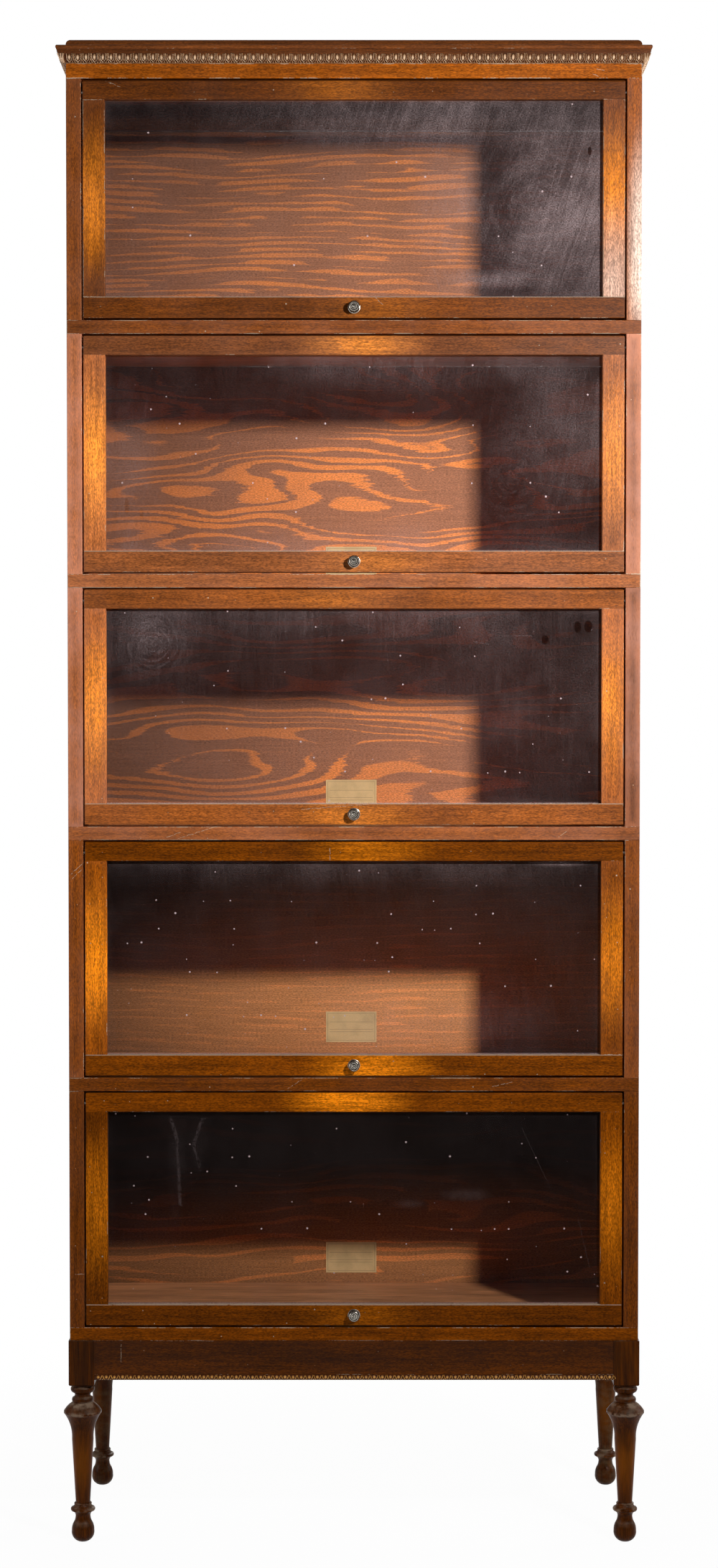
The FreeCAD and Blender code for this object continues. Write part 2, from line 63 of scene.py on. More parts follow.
# Colours of the finishes, linear. The two mahogany hues are at full strength and are shaded part by part
mahogany_brown = (1.0, 0.32, 0.100)
mahogany_amber = (1.0, 0.235, 0.004)
brown_glow = (0.97, 0.32, 0.050)
amber_glow = (0.97, 0.27, 0.006)
# Painted highlights: the lamp's glare at the foot of the top door's right stile and on the top section's
# right front edge
painted_stile_glare = (0.92, 0.62, 0.48)
painted_side_glare = (0.95, 0.74, 0.61)
varnish_bloom = (0.62, 0.27, 0.180)
chipped_edge = (0.78, 0.55, 0.38)
house_dust = (0.62, 0.46, 0.46)
dusty_wood = (0.55, 0.25, 0.11)
old_dirt = (0.13, 0.095, 0.05)
# Painted shade: the dark put inside the crown's hollow
painted_hollow_shade = (0.03, 0.014, 0.007)
ply_ground = (0.36, 0.145, 0.072)
ply_tan = (0.36, 0.149, 0.052)
ply_orange = (0.80, 0.25, 0.062)
paper_cream = (0.68, 0.47, 0.215)
paper_ink = (0.26, 0.16, 0.07)


class Wiring:
    """Adds nodes to one tree and joins them. A value is a number, a tuple or another node's socket."""

    def __init__(self, tree):
        self.tree = tree

    def plug(self, socket, value):
        if isinstance(value, bpy.types.NodeSocket):
            self.tree.links.new(value, socket)
        elif socket.type == "RGBA" and len(value) == 3:
            socket.default_value = (*value, 1.0)
        else:
            socket.default_value = value

    def fill(self, node, inputs):
        for name, value in inputs.items():
            self.plug(node.inputs[name], value)

    def node(self, kind, inputs=None, **settings):
        made = self.tree.nodes.new(kind)
        for name, value in settings.items():
            setattr(made, name, value)
        self.fill(made, inputs or {})
        return made

    def math(self, operation, *values, clamp=False):
        made = self.node("ShaderNodeMath", operation=operation, use_clamp=clamp)
        for socket, value in zip(made.inputs, values):
            self.plug(socket, value)
        return made.outputs[0]

    def chain(self, operation, values):
        result = values[0]
        for value in values[1:]:
            result = self.math(operation, result, value)
        return result

    def total(self, *values):
        return self.chain("ADD", values)

    def times(self, *values):
        return self.chain("MULTIPLY", values)

    def highest(self, *values):
        return self.chain("MAXIMUM", values)

    def lowest(self, *values):
        return self.chain("MINIMUM", values)

    def minus(self, value, other):
        return self.math("SUBTRACT", value, other)

    def scaled(self, value, factor, offset):
        return self.math("MULTIPLY_ADD", value, factor, offset)

    def vector(self, operation, *values):
        made = self.node("ShaderNodeVectorMath", operation=operation)
        for socket, value in zip(made.inputs, values):
            self.plug(socket, value)
        return made.outputs["Value" if operation in ("LENGTH", "DOT_PRODUCT") else "Vector"]

    def parts(self, vector):
        return self.node("ShaderNodeSeparateXYZ", {"Vector": vector}).outputs

    def join(self, x, y, z):
        return self.node("ShaderNodeCombineXYZ", {"X": x, "Y": y, "Z": z}).outputs[0]

    def place(self):
        """The point on the piece, in metres."""
        return self.node("ShaderNodeTexCoord").outputs["Object"]

    def turned(self, vector, degrees):
        """The vector turned in the plane of the doors."""
        inputs = {"Vector": vector, "Angle": math.radians(degrees)}
        return self.node("ShaderNodeVectorRotate", inputs, rotation_type="Y_AXIS").outputs[0]

    def noise(self, vector, stretch=(1, 1, 1), detail=2.0, roughness=0.5, distortion=0.0):
        stretched = self.vector("MULTIPLY", vector, stretch)
        inputs = {"Vector": stretched, "Scale": 1.0, "Detail": detail, "Roughness": roughness,
                  "Distortion": distortion}
        return self.node("ShaderNodeTexNoise", inputs).outputs["Fac"]

    def speckle(self, along, spread):
        """A factor of about one that differs from fleck to fleck. The flecks lie along the vector's X."""
        return self.step(self.noise(along, (260, 880, 880), detail=1), 0.25, 0.75, 1 - spread, 1 + spread)

    def step(self, value, low, high, start=0.0, end=1.0):
        """Start below low, end above high and a smooth rise between."""
        inputs = {"Value": value, "From Min": low, "From Max": high, "To Min": start, "To Max": end}
        return self.node("ShaderNodeMapRange", inputs, interpolation_type="SMOOTHSTEP").outputs[0]

    def blend(self, factor, first, second, kind="MIX"):
        made = self.node("ShaderNodeMix", data_type="RGBA", blend_type=kind, clamp_factor=True)
        for index, value in ((0, factor), (6, first), (7, second)):
            self.plug(made.inputs[index], value)
        return made.outputs[2]

    def colours(self, value, *stops):
        """A colour ramp: pairs of place and colour."""
        made = self.node("ShaderNodeValToRGB", {"Fac": value})
        ramp = made.color_ramp
        while len(ramp.elements) < len(stops):
            ramp.elements.new(0.5)
        for element, (position, colour) in zip(ramp.elements, stops):
            element.position = position
            element.color = (*colour, 1.0)
        return made.outputs["Color"]

    def group(self, tree, **inputs):
        made = self.node("ShaderNodeGroup", node_tree=tree)
        for name, value in inputs.items():
            self.plug(made.inputs[name.capitalize()], value)
        return made.outputs

    def bump(self, height, strength, distance):
        inputs = {"Height": height, "Strength": strength, "Distance": distance}
        return self.node("ShaderNodeBump", inputs).outputs["Normal"]


def shaded(colour, shade):
    return tuple(shade * part for part in colour)


def between(first, second, share):
    return tuple(a + (b - a) * share for a, b in zip(first, second))


def new_object(name, data):
    """A new object that stands in the scene."""
    made = bpy.data.objects.new(name, data)
    bpy.context.scene.collection.objects.link(made)
    return made


# Shared effects


def effect(inputs):
    """Makes a shader node group of a function that wires the group's inputs and gives its outputs."""

    def grouped(wire):
        tree = bpy.data.node_groups.new(wire.__name__, "ShaderNodeTree")
        for label, value in inputs.items():
            kind = "NodeSocketFloat" if isinstance(value, float) else "NodeSocketVector"
            tree.interface.new_socket(label, in_out="INPUT", socket_type=kind).default_value = value
        w = Wiring(tree)
        outputs = wire(w, tree.nodes.new("NodeGroupInput").outputs)
        for label in outputs:
            tree.interface.new_socket(label, in_out="OUTPUT", socket_type="NodeSocketFloat")
        w.fill(tree.nodes.new("NodeGroupOutput"), outputs)
        return tree

    return grouped


@effect({"Low": (0.0,) * 3, "High": (1.0,) * 3})
def board_edge(w, entry):
    """Distance from a point on a squared board to its nearest edge, one metre off the board."""
    point = w.place()
    above = w.vector("SUBTRACT", point, entry["Low"])
    below = w.vector("SUBTRACT", entry["High"], point)
    x, y, z = w.parts(w.vector("MINIMUM", above, below))
    smaller = w.lowest(x, y)
    larger = w.highest(x, y)
    middle = w.highest(smaller, w.lowest(larger, z))
    outside = w.math("LESS_THAN", w.lowest(smaller, z), -0.0005)
    return {"Distance": w.total(w.highest(middle, 0.0), outside)}


@effect({"Distance": 0.0, "Reach": 0.0026, "Amount": 0.4, "Seed": 0.0})
def edge_wear(w, entry):
    """Pale chips and a wider rubbed band along the edges of a board."""
    point = w.vector("ADD", w.place(), w.join(entry["Seed"], entry["Seed"], 0.0))
    close = w.step(entry["Distance"], 0.0, entry["Reach"], 1.0, 0.0)
    fine = w.noise(point, (330, 330, 330), detail=3)
    stretches = w.noise(point, (26, 26, 26), detail=2)
    chance = w.total(fine, w.scaled(stretches, 1.6, -0.8), entry["Amount"], -0.5)
    wide = w.step(entry["Distance"], 0.0, w.times(entry["Reach"], 5.0), 1.0, 0.0)
    return {"Chips": w.step(w.times(chance, close), 0.52, 0.6),
            "Rub": w.times(wide, w.step(stretches, 0.3, 0.65))}


@effect({"Vector": (0.0,) * 3, "Seed": 0.0})
def mahogany_grain(w, entry):
    """Mahogany grain that runs along the vector's X: fine tone, broad figure and open pores."""
    shift = w.vector("MULTIPLY", w.join(entry["Seed"], entry["Seed"], entry["Seed"]), (3.7, 5.1, 7.3))
    point = w.vector("ADD", entry["Vector"], shift)
    sway = w.times(w.minus(w.noise(point, (2.5, 12, 12)), 0.5), 0.02)
    swayed = w.vector("ADD", point, w.join(0.0, sway, sway))
    streak = w.step(w.noise(swayed, (9, 230, 230), detail=4, roughness=0.6), 0.28, 0.72)
    fine = w.step(w.noise(swayed, (26, 800, 800), detail=2, roughness=0.6), 0.3, 0.7)
    figure = w.step(w.noise(point, (5, 24, 24), detail=4, roughness=0.55), 0.3, 0.7)
    return {"Tone": w.total(w.times(streak, 0.36), w.times(fine, 0.3), w.times(figure, 0.34)),
            "Figure": figure,
            "Pores": w.step(w.noise(swayed, (90, 1100, 1100), detail=1), 0.58, 0.7)}


@effect({"Centre": (0.0,) * 3, "Reach": (1.0,) * 3})
def soft_patch(w, entry):
    """A soft round patch: one at its centre, nothing past its reach."""
    off = w.vector("DIVIDE", w.vector("SUBTRACT", w.place(), entry["Centre"]), entry["Reach"])
    return {"Mask": w.step(w.vector("LENGTH", off), 0.0, 1.0, 1.0, 0.0)}


@effect({"Start": (0.0,) * 3, "End": (1.0,) * 3, "Width": 0.0007})
def scratch(w, entry):
    """A broken thin scratch from one point to another on an upright face."""
    flat = (1, 0, 1)
    point = w.place()
    wander = w.node("ShaderNodeTexNoise", {"Vector": point, "Scale": 160.0, "Detail": 2.0}).outputs["Color"]
    bend = w.vector("MULTIPLY", w.vector("SUBTRACT", wander, (0.5, 0.5, 0.5)), (0.003, 0.0, 0.003))
    reach = w.vector("MULTIPLY", w.vector("SUBTRACT", w.vector("ADD", point, bend), entry["Start"]), flat)
    run = w.vector("MULTIPLY", w.vector("SUBTRACT", entry["End"], entry["Start"]), flat)
    whole = w.vector("DOT_PRODUCT", run, run)
    share = w.math("DIVIDE", w.vector("DOT_PRODUCT", reach, run), whole, clamp=True)
    nearest = w.vector("MULTIPLY", run, w.join(share, share, share))
    gap = w.vector("LENGTH", w.vector("SUBTRACT", reach, nearest))
    line = w.step(gap, 0.0, entry["Width"], 1.0, 0.0)
    broken = w.step(w.noise(point, (420, 420, 420), detail=1), 0.4, 0.5)
    return {"Mask": w.times(line, broken)}


@effect({"Spacing": 0.02, "Size": 0.0013, "Share": 0.28, "Seed": 0.0})
def specks(w, entry):
    """Scattered small specks, each with its own size."""
    x, y, z = w.parts(w.place())
    point = w.join(w.total(x, y, entry["Seed"]), w.total(z, entry["Seed"]), 0.0)
    cell = w.vector("DIVIDE", point, w.join(entry["Spacing"], entry["Spacing"], 1.0))
    cells = w.node("ShaderNodeTexVoronoi", {"Vector": cell, "Scale": 1.0}, voronoi_dimensions="2D")
    lot = w.parts(cells.outputs["Color"])
    size = w.math("DIVIDE", w.times(entry["Size"], w.math("POWER", lot[1], 3.0)), entry["Spacing"])
    dot = w.math("LESS_THAN", cells.outputs["Distance"], size)
    return {"Mask": w.times(dot, w.math("LESS_THAN", lot[0], entry["Share"]))}


@effect({"Centre": (0.0,) * 3, "Reach": (1.0,) * 3})
def wiped_arcs(w, entry):
    """Arcs left by a cloth wiped round and round over a dusty pane."""
    off = w.vector("DIVIDE", w.vector("SUBTRACT", w.place(), entry["Centre"]), entry["Reach"])
    wobble = w.times(w.noise(w.place(), (14, 14, 14), detail=2), 0.3)
    radius = w.total(w.vector("LENGTH", off), wobble)
    x, _, z = w.parts(off)
    turn = w.math("ARCTAN2", z, x)
    arcs = w.noise(w.join(w.times(radius, 17.0), w.times(turn, 0.8), 0.0), detail=4, roughness=0.65)
    mask = w.step(w.vector("LENGTH", off), 0.1, 1.0, 1.0, 0.0)
    return {"Mask": w.times(mask, w.step(arcs, 0.46, 0.66))}


# Finishes


def finish_of(name):
    """A new material: its wiring and its Principled shader."""
    material = bpy.data.materials.new(name)
    material.use_nodes = True
    w = Wiring(material.node_tree)
    shader = material.node_tree.nodes["Principled BSDF"]
    return material, w, shader


def wear(solid, material):
    """Gives a solid its finish."""
    slots = solids[solid].material_slots
    if not slots:
        solids[solid].data.materials.append(material)
    for place in slots:
        place.material = material


# A patch of this reach isn't limited along that axis
everywhere = 9.0

# How far behind the case front the wood is still at the front, has lost its bloom and is fully in the shade
front_skin = 0.005
bloom_depth = 0.06
shade_depth = 0.08

# A height over the sill that lies between a door's two rails, and half the line on the sill, of dust and a
# painted highlight
between_rails = 0.1
sill_dust_and_glint_half = 0.0011

# How far the bloom is thicker along edges, the skin that counts as a face, and how softly the inside starts
bloom_rim = 0.012
face_skin = 0.002
inside_fade = 0.01


def body_colour(w, place, hue, shade, other, deep, sill, glows):
    """The wood's colour under its grain: member by member, well behind the front and in lighter places."""
    x, y, z = place
    colour = shaded(hue, shade)
    if other:
        apart = w.math("LESS_THAN", z, sill + between_rails) if sill else w.math("GREATER_THAN", x, 0.0)
        colour = w.blend(apart, colour, shaded(hue, other))
    if deep:
        behind = w.step(y, case_front + front_skin, case_front + shade_depth)
        colour = w.blend(behind, colour, shaded(hue, deep))
    for centre, reach, strength, lighter in glows:
        mask = w.group(soft_patch, centre=centre, reach=reach)["Mask"]
        colour = w.blend(w.times(mask, strength), colour, lighter)
    return colour


def scratched(w, foot, line, **size):
    """The mask of a scratch. Its line gives x and height over the foot, at its start and at its end."""
    x0, z0, x1, z1 = line
    return w.group(scratch, start=(x0, 0.0, foot + z0), end=(x1, 0.0, foot + z1), **size)["Mask"]


def bare_places(w, point, z, chips, foot, sill, marks, seed):
    """Where the varnish is gone or dust lies: chips, specks, scratches and the line on the sill, which is
    dust with a painted highlight.
    """
    pale = [chips, w.group(specks, seed=seed)["Mask"]]
    pale += [scratched(w, foot, line) for line in marks]
    # The line on the sill: dust with a painted highlight along its edge
    if sill:
        gritty = w.step(w.noise(point, (150, 300, 300), detail=2), 0.24, 0.44)
        pale.append(w.times(w.math("COMPARE", z, sill, sill_dust_and_glint_half), gritty))
    return w.highest(*pale)


def mahogany(name, boards, upright=False, shade=0.3, other=None, warmth=0.5, bloom=0.1, chips=0.4, gloss=0.2,
             sill=None, inside=None, deep=None, glows=(), marks=(), seed=0.0):
    """Aged varnished mahogany, its red as bright as the shade.

    The other shade is for the rail under the sill, where dust and a painted highlight lie in a line, or for
    the board on the right, and the deep one for what is well behind the front. Warmth turns the hue from
    brown to amber. Glows are lighter places, marks are scratches over the foot of the first board, and inside
    gives a line and the colour of the wood behind it.
    """
    material, w, shader = finish_of(name)
    point = w.place()
    x, y, z = w.parts(point)
    along = w.join(z, y, x) if upright else point
    grain = w.group(mahogany_grain, vector=along, seed=seed)
    hue = between(mahogany_brown, mahogany_amber, warmth)
    body = body_colour(w, (x, y, z), hue, shade, other, deep, sill, glows)
    contrast = w.colours(grain["Tone"], (0.1, (0.5,) * 3), (0.5, (1.0,) * 3), (0.9, (1.55,) * 3))
    flecks = w.speckle(along, 0.45)
    colour = w.blend(1.0, body, w.vector("MULTIPLY", contrast, w.join(flecks, flecks, flecks)), "MULTIPLY")
    nearest = w.lowest(*[w.group(board_edge, low=low, high=high)["Distance"] for low, high in boards])
    blotch = w.step(w.noise(point, (10, 10, 10), detail=4, roughness=0.6), 0.36, 0.68)
    rim = w.step(nearest, 0.0, bloom_rim, 0.5, 0.0)
    ahead = w.step(y, case_front + front_skin, case_front + bloom_depth, bloom, 0.3 * bloom)
    hazed = w.times(w.total(rim, w.scaled(blotch, 0.7, 0.3)), ahead)
    colour = w.blend(hazed, colour, varnish_bloom)
    colour = w.blend(w.times(grain["Pores"], 0.35), colour, shaded(hue, 0.3 * shade))
    worn = w.group(edge_wear, distance=nearest, amount=chips, seed=seed)
    colour = w.blend(w.times(worn["Rub"], 0.25), colour, shaded(hue, 1.7 * shade))
    if inside:
        line, unseen = inside
        within = w.math("LESS_THAN", w.math("ABSOLUTE", x), half_width - face_skin)
        grained = w.blend(1.0, contrast, unseen, "MULTIPLY")
        colour = w.blend(w.times(within, w.step(y, line, line + inside_fade, 0.0, 0.7)), colour, grained)
    foot = boards[0][0][2]
    bare = bare_places(w, point, z, worn["Chips"], foot, sill, marks, seed)
    colour = w.blend(bare, colour, shaded(chipped_edge, 0.3 + 1.2 * shade))
    roughness = w.total(0.36, w.times(blotch, 0.14), w.times(bare, 0.3))
    relief = w.minus(w.times(grain["Tone"], 0.3), w.total(grain["Pores"], bare))
    w.fill(shader, {"Base Color": colour, "Roughness": roughness, "Specular IOR Level": gloss,
                    "Normal": w.bump(relief, 0.2, 0.0003)})
    return material


def in_mahogany(part, boards, **look):
    """Gives a solid made of these boards its own mahogany."""
    wear(part, mahogany(part, boards, **look))


def twin(low, high):
    """A board on the right and its mirror image on the left."""
    left_low = (-high[0], low[1], low[2])
    left_high = (-low[0], high[1], high[2])
    return [(tuple(low), tuple(high)), (left_low, left_high)]


def outer_box(solid):
    low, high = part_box(solid)
    return [(tuple(low), tuple(high))]


# The back panels carry a painted pool of lamp light with painted shade round it: where it is lightest
# from side to side, its level there, and the plain level of the rear face
painted_light_x = 0.15
painted_light_level = 1.3
back_level = 0.7


def back_ply(name, number, rings, climb, figure, lens, widest, contrast, painted_light, shade=1.0, ground=ply_ground):
    """Rotary cut veneer: its year rings come out as toothed contour bands, orange on grey brown.

    Rings and climb set how close the bands lie, figure and lens how they wander and swell along x and z.
    Painted light gives the height of its painted pool of lamp light, how far that reaches up and across, and
    the level of the painted shade far from it.
    The face that looks backwards has one plain level.
    """
    material, w, shader = finish_of(name)
    point = w.place()
    _, y, z = w.parts(point)
    moved = w.vector("ADD", point, (1.7 * number, 0.0, 2.3 * number))
    teeth = w.minus(w.noise(moved, (26, 0.0, 300), detail=3, roughness=0.6), 0.5)
    shifted = w.vector("ADD", moved, w.join(w.times(teeth, 0.05), 0.0, 0.0))
    field = w.noise(shifted, (figure[0], 0.0, figure[1]), detail=1.5, roughness=0.4)
    ring = w.math("FRACT", w.total(w.times(field, rings), w.times(z, climb), w.times(teeth, 0.25)))
    width = w.step(w.noise(shifted, (lens[0], 0.0, lens[1]), detail=1), 0.32, 0.68, 0.0, widest)
    early = w.times(w.step(ring, w.minus(width, 0.09), width, 1.0, 0.0), w.step(ring, 0.0, 0.05))
    streaks = w.noise(shifted, (10, 0.0, 420), detail=4, roughness=0.65)
    blotch = w.step(w.noise(shifted, (6, 0.0, 9), detail=3), 0.35, 0.7)
    faded = w.scaled(blotch, 0.45, 0.65)
    tone = w.total(w.times(early, faded, contrast), w.scaled(streaks, 0.7, -0.2))
    colour = w.colours(tone, (0.0, shaded(ground, 0.75 * shade)), (0.2, shaded(ground, shade)),
                       (0.95, shaded(ply_orange, shade)))
    low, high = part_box(name)
    # Painted light: a pool of lamp light painted on the panel, falling off to painted shade far from it
    height, up, across, least = painted_light
    lightest = (painted_light_x, high.y, low.z + height)
    lighter = w.group(soft_patch, centre=lightest, reach=(across, everywhere, up))["Mask"]
    ahead = w.math("LESS_THAN", y, low.y + face_skin)
    level = w.scaled(lighter, painted_light_level - least, least)
    level = w.times(w.step(ahead, 0.0, 1.0, back_level / shade, level), w.speckle(point, 0.32))
    colour = w.blend(1.0, colour, w.join(level, level, level), "MULTIPLY")
    w.fill(shader, {"Base Color": colour, "Roughness": w.scaled(streaks, 0.2, 0.5),
                    "Specular IOR Level": 0.12, "Normal": w.bump(w.total(streaks, early), 0.12, 0.0003)})
    return material


# Widths on the panes: the dried runs, the scratches, the dust gathered round the edge and that on the sill
run_width = 0.005
glass_scratch_width = 0.0009
edge_dust_width = 0.016
sill_dust_height = 0.0028


def dust_veil(w, foot, film, brushed, smears, swirls, wiped):
    """How thick the dust on a pane is before its grit: film, smears, wiped arcs and clean finger marks."""

    def on_pane(shape, across, up, reach_across, reach_up):
        centre = (across, foot.y, foot.z + up)
        return w.group(shape, centre=centre, reach=(reach_across, 1, reach_up))["Mask"]

    veil = w.total(0.35, w.step(film, 0.25, 0.75), w.times(w.step(brushed, 0.46, 0.74), 0.3))
    cloudy = w.step(w.total(w.times(film, 0.72), w.times(brushed, 0.28)), 0.37, 0.67, 0.35, 1.3)
    for *place, strength in smears:
        veil = w.scaled(w.times(on_pane(soft_patch, *place), cloudy), strength, veil)
    for *place, strength in swirls:
        veil = w.scaled(on_pane(wiped_arcs, *place), strength, veil)
    for place in wiped:
        veil = w.times(veil, w.step(on_pane(soft_patch, *place), 0.25, 0.6, 1.0, 0.2))
    return veil


def dusty_glass(name, number, haze, specks_share, smears=(), swirls=(), wiped=(), runs=(), marks=()):
    """Clear sheet seen by the dust on its front: haze, smears, wiped arcs, finger marks, runs and scratches.

    A smear, swirl or wiped place has x, height over the pane's foot and its reach along both, and a run or
    mark has its line. All but the wiped places end with a strength.
    """
    material, w, shader = finish_of(name)
    point = w.place()
    x, y, z = w.parts(point)
    low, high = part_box(name)
    seed = 0.37 * number
    shifted = w.vector("ADD", point, (seed, 0.0, 2 * seed))
    film = w.noise(shifted, (9, 0.0, 9), detail=8, roughness=0.7)
    slanted = w.turned(shifted, 62 + 9 * number)
    brushed = w.noise(slanted, (8, 0.0, 110), detail=4, roughness=0.62, distortion=1.8)
    grit = w.noise(shifted, (520, 0.0, 520), detail=3, roughness=0.7)
    veil = dust_veil(w, low, film, brushed, smears, swirls, wiped)
    veil = w.times(veil, w.step(grit, 0.3, 0.7, 0.25, 1.75))
    sides = w.minus(sight_half, w.math("ABSOLUTE", x))
    above_sill = w.minus(z, low.z + glass_cover)
    below_head = w.minus(high.z - glass_cover, z)
    rim = w.lowest(sides, above_sill, below_head)
    gathered = w.times(w.step(rim, 0.0, edge_dust_width, 1.0, 0.0), w.step(film, 0.35, 0.6))
    sill_dust = w.times(w.step(above_sill, 0.0, sill_dust_height, 1.0, 0.0), w.step(grit, 0.3, 0.6))
    lone = w.group(specks, spacing=0.022, size=0.0016, share=specks_share, seed=seed)["Mask"]
    alpha = w.times(w.scaled(gathered, 0.9, veil), haze)
    alpha = w.highest(alpha, w.times(sill_dust, 0.55), w.times(lone, 0.85))
    for lines, width in ((runs, run_width), (marks, glass_scratch_width)):
        for *line, strength in lines:
            alpha = w.highest(alpha, w.times(scratched(w, low.z, line, width=width), strength))
    ahead = w.math("LESS_THAN", y, (low.y + high.y) / 2)
    w.fill(shader, {"Base Color": w.blend(film, shaded(house_dust, 0.85), house_dust),
                    "Alpha": w.times(alpha, ahead), "Specular IOR Level": 0.3,
                    "Roughness": w.scaled(film, 0.3, 0.35)})
    return material


# Worn nickel and its tarnish, dull steel and its smut, bare wood and its dark grain
nickel, tarnished_nickel = (0.40, 0.365, 0.315), (0.04, 0.032, 0.025)
clean_steel, smutted_steel = (0.42, 0.40, 0.37), (0.20, 0.17, 0.14)
bare_light, bare_dark = (0.52, 0.35, 0.19), (0.26, 0.15, 0.075)
knob_ring_turns = 2600.0


def knob_metal(name):
    """Worn nickel with tarnish in the rings round its middle."""
    material, w, shader = finish_of(name)
    low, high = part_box(name)
    x, _, z = w.parts(w.vector("SUBTRACT", w.place(), tuple((low + high) / 2)))
    radius = w.math("SQRT", w.total(w.times(x, x), w.times(z, z)))
    patina = w.noise(w.place(), (420, 420, 420), detail=3)
    ring = w.math("SINE", w.times(radius, knob_ring_turns))
    tarnish = w.step(w.scaled(ring, 0.22, patina), 0.36, 0.62)
    w.fill(shader, {"Base Color": w.blend(tarnish, nickel, tarnished_nickel), "Metallic": 1.0,
                    "Roughness": w.scaled(tarnish, 0.3, 0.28),
                    "Normal": w.bump(w.total(ring, patina), 0.2, 0.0004)})
    return material


def plain_steel():
    material, w, shader = finish_of("dull_steel")
    smut = w.noise(w.place(), (60, 60, 260), detail=4)
    w.fill(shader, {"Base Color": w.blend(w.step(smut, 0.35, 0.7), clean_steel, smutted_steel),
                    "Roughness": w.scaled(smut, 0.3, 0.3), "Metallic": 1.0})
    return material


def bare_wood():
    material, w, shader = finish_of("bare_wood")
    grain = w.group(mahogany_grain, vector=w.place())
    w.fill(shader, {"Base Color": w.blend(grain["Tone"], bare_dark, bare_light),
                    "Roughness": w.scaled(grain["Tone"], 0.2, 0.6)})
    return material


# The labels: their height, how far in the border lies, half a line's thickness and where the rules are
label_height = 0.0505
label_border = 0.003
line_half = 0.0004
rule_shares = (0.34, 0.42, 0.66)


def label_paper():
    """Aged cream paper with a printed border and ruled lines, and nothing written on it."""
    material, w, shader = finish_of("label_paper")
    low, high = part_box("paper_labels")
    point = w.place()
    x, _, z = w.parts(point)
    up = w.math("MODULO", w.minus(z, low.z), section_pitch)
    sides = w.lowest(w.minus(x, low.x), w.minus(high.x, x))
    rim = w.lowest(sides, up, w.minus(label_height, up))
    border = w.math("COMPARE", rim, label_border, line_half)
    rules = [w.math("COMPARE", up, share * label_height, line_half) for share in rule_shares]
    ruled = w.times(w.highest(*rules), w.math("GREATER_THAN", rim, 2 * label_border))
    stain = w.step(w.noise(point, (45, 45, 45), detail=4), 0.4, 0.75)
    colour = w.blend(w.times(stain, 0.5), paper_cream, shaded(paper_cream, 0.65))
    colour = w.blend(w.times(w.highest(border, ruled), 0.55), colour, paper_ink)
    w.fill(shader, {"Base Color": colour, "Roughness": w.scaled(stain, 0.1, 0.75)})
    return material


# A leg's shaft, by its middle and reach, and its rubbed rings, by height and how far the rubbing spreads
shaft_middle, shaft_reach = 0.125, 0.06
rubbed_rings = ((0.0495, 0.006), (0.0575, 0.004), (0.1985, 0.005), (0.212, 0.007), (0.0, 0.004))


def turned_mahogany(name, shade, dust, seed):
    """A turned leg: upright grain, rings rubbed pale at their edges, and dust with a painted highlight on
    what faces up.
    """
    material, w, shader = finish_of(name)
    point = w.place()
    x, y, z = w.parts(point)

    def band(height, reach):
        return w.group(soft_patch, centre=(0, 0, height), reach=(everywhere, everywhere, reach))["Mask"]

    grain = w.group(mahogany_grain, vector=w.join(z, y, x), seed=seed)
    body = shaded(mahogany_amber, shade)
    colour = w.colours(grain["Tone"], (0.1, shaded(body, 0.3)), (0.5, body), (0.9, shaded(body, 2.2)))
    lighter = w.times(band(shaft_middle, shaft_reach), grain["Figure"], 0.6)
    colour = w.blend(lighter, colour, shaded(amber_glow, 4 * shade))
    grime = w.noise(point, (60, 60, 90), detail=4, roughness=0.6)
    rings = w.highest(*[band(height, reach) for height, reach in rubbed_rings])
    pale = w.times(w.step(rings, 0.1, 0.9), w.step(grime, 0.42, 0.62))
    colour = w.blend(w.times(pale, 0.7), colour, shaded(chipped_edge, 0.4))
    # What faces up gets pale dust and a painted highlight
    facing = w.parts(w.node("ShaderNodeNewGeometry").outputs["Normal"])[2]
    upward_dust_and_sheen = w.times(w.step(facing, 0.15, 0.8), w.step(grime, 0.3, 0.7))
    colour = w.blend(w.times(upward_dust_and_sheen, 0.5), colour, shaded(chipped_edge, 0.3))
    colour = w.blend(w.times(w.step(grime, 0.35, 0.75), dust), colour, old_dirt)
    relief = w.minus(grime, grain["Pores"])
    w.fill(shader, {"Base Color": colour, "Roughness": w.scaled(grime, 0.3, 0.22),
                    "Specular IOR Level": 0.06, "Normal": w.bump(relief, 0.15, 0.0004)})
    return material


def carved_finish(name, hollow_shade, slope, crest):
    """Carved wood: painted shade dark in the hollows, and a painted highlight with rubbed pale dust on the
    crests.
    """
    material, w, shader = finish_of(name)
    height = w.node("ShaderNodeAttribute", attribute_name="relief").outputs["Fac"]
    mottle = w.noise(w.place(), (300, 300, 300), detail=3)
    tone = w.scaled(mottle, 0.5, w.minus(height, 0.25))
    w.fill(shader, {"Base Color": w.colours(tone, (0.1, hollow_shade), (0.5, slope), (0.95, crest)),
                    "Roughness": w.scaled(mottle, 0.3, 0.3), "Specular IOR Level": 0.3,
                    "Normal": w.bump(mottle, 0.2, 0.0003)})
    return material


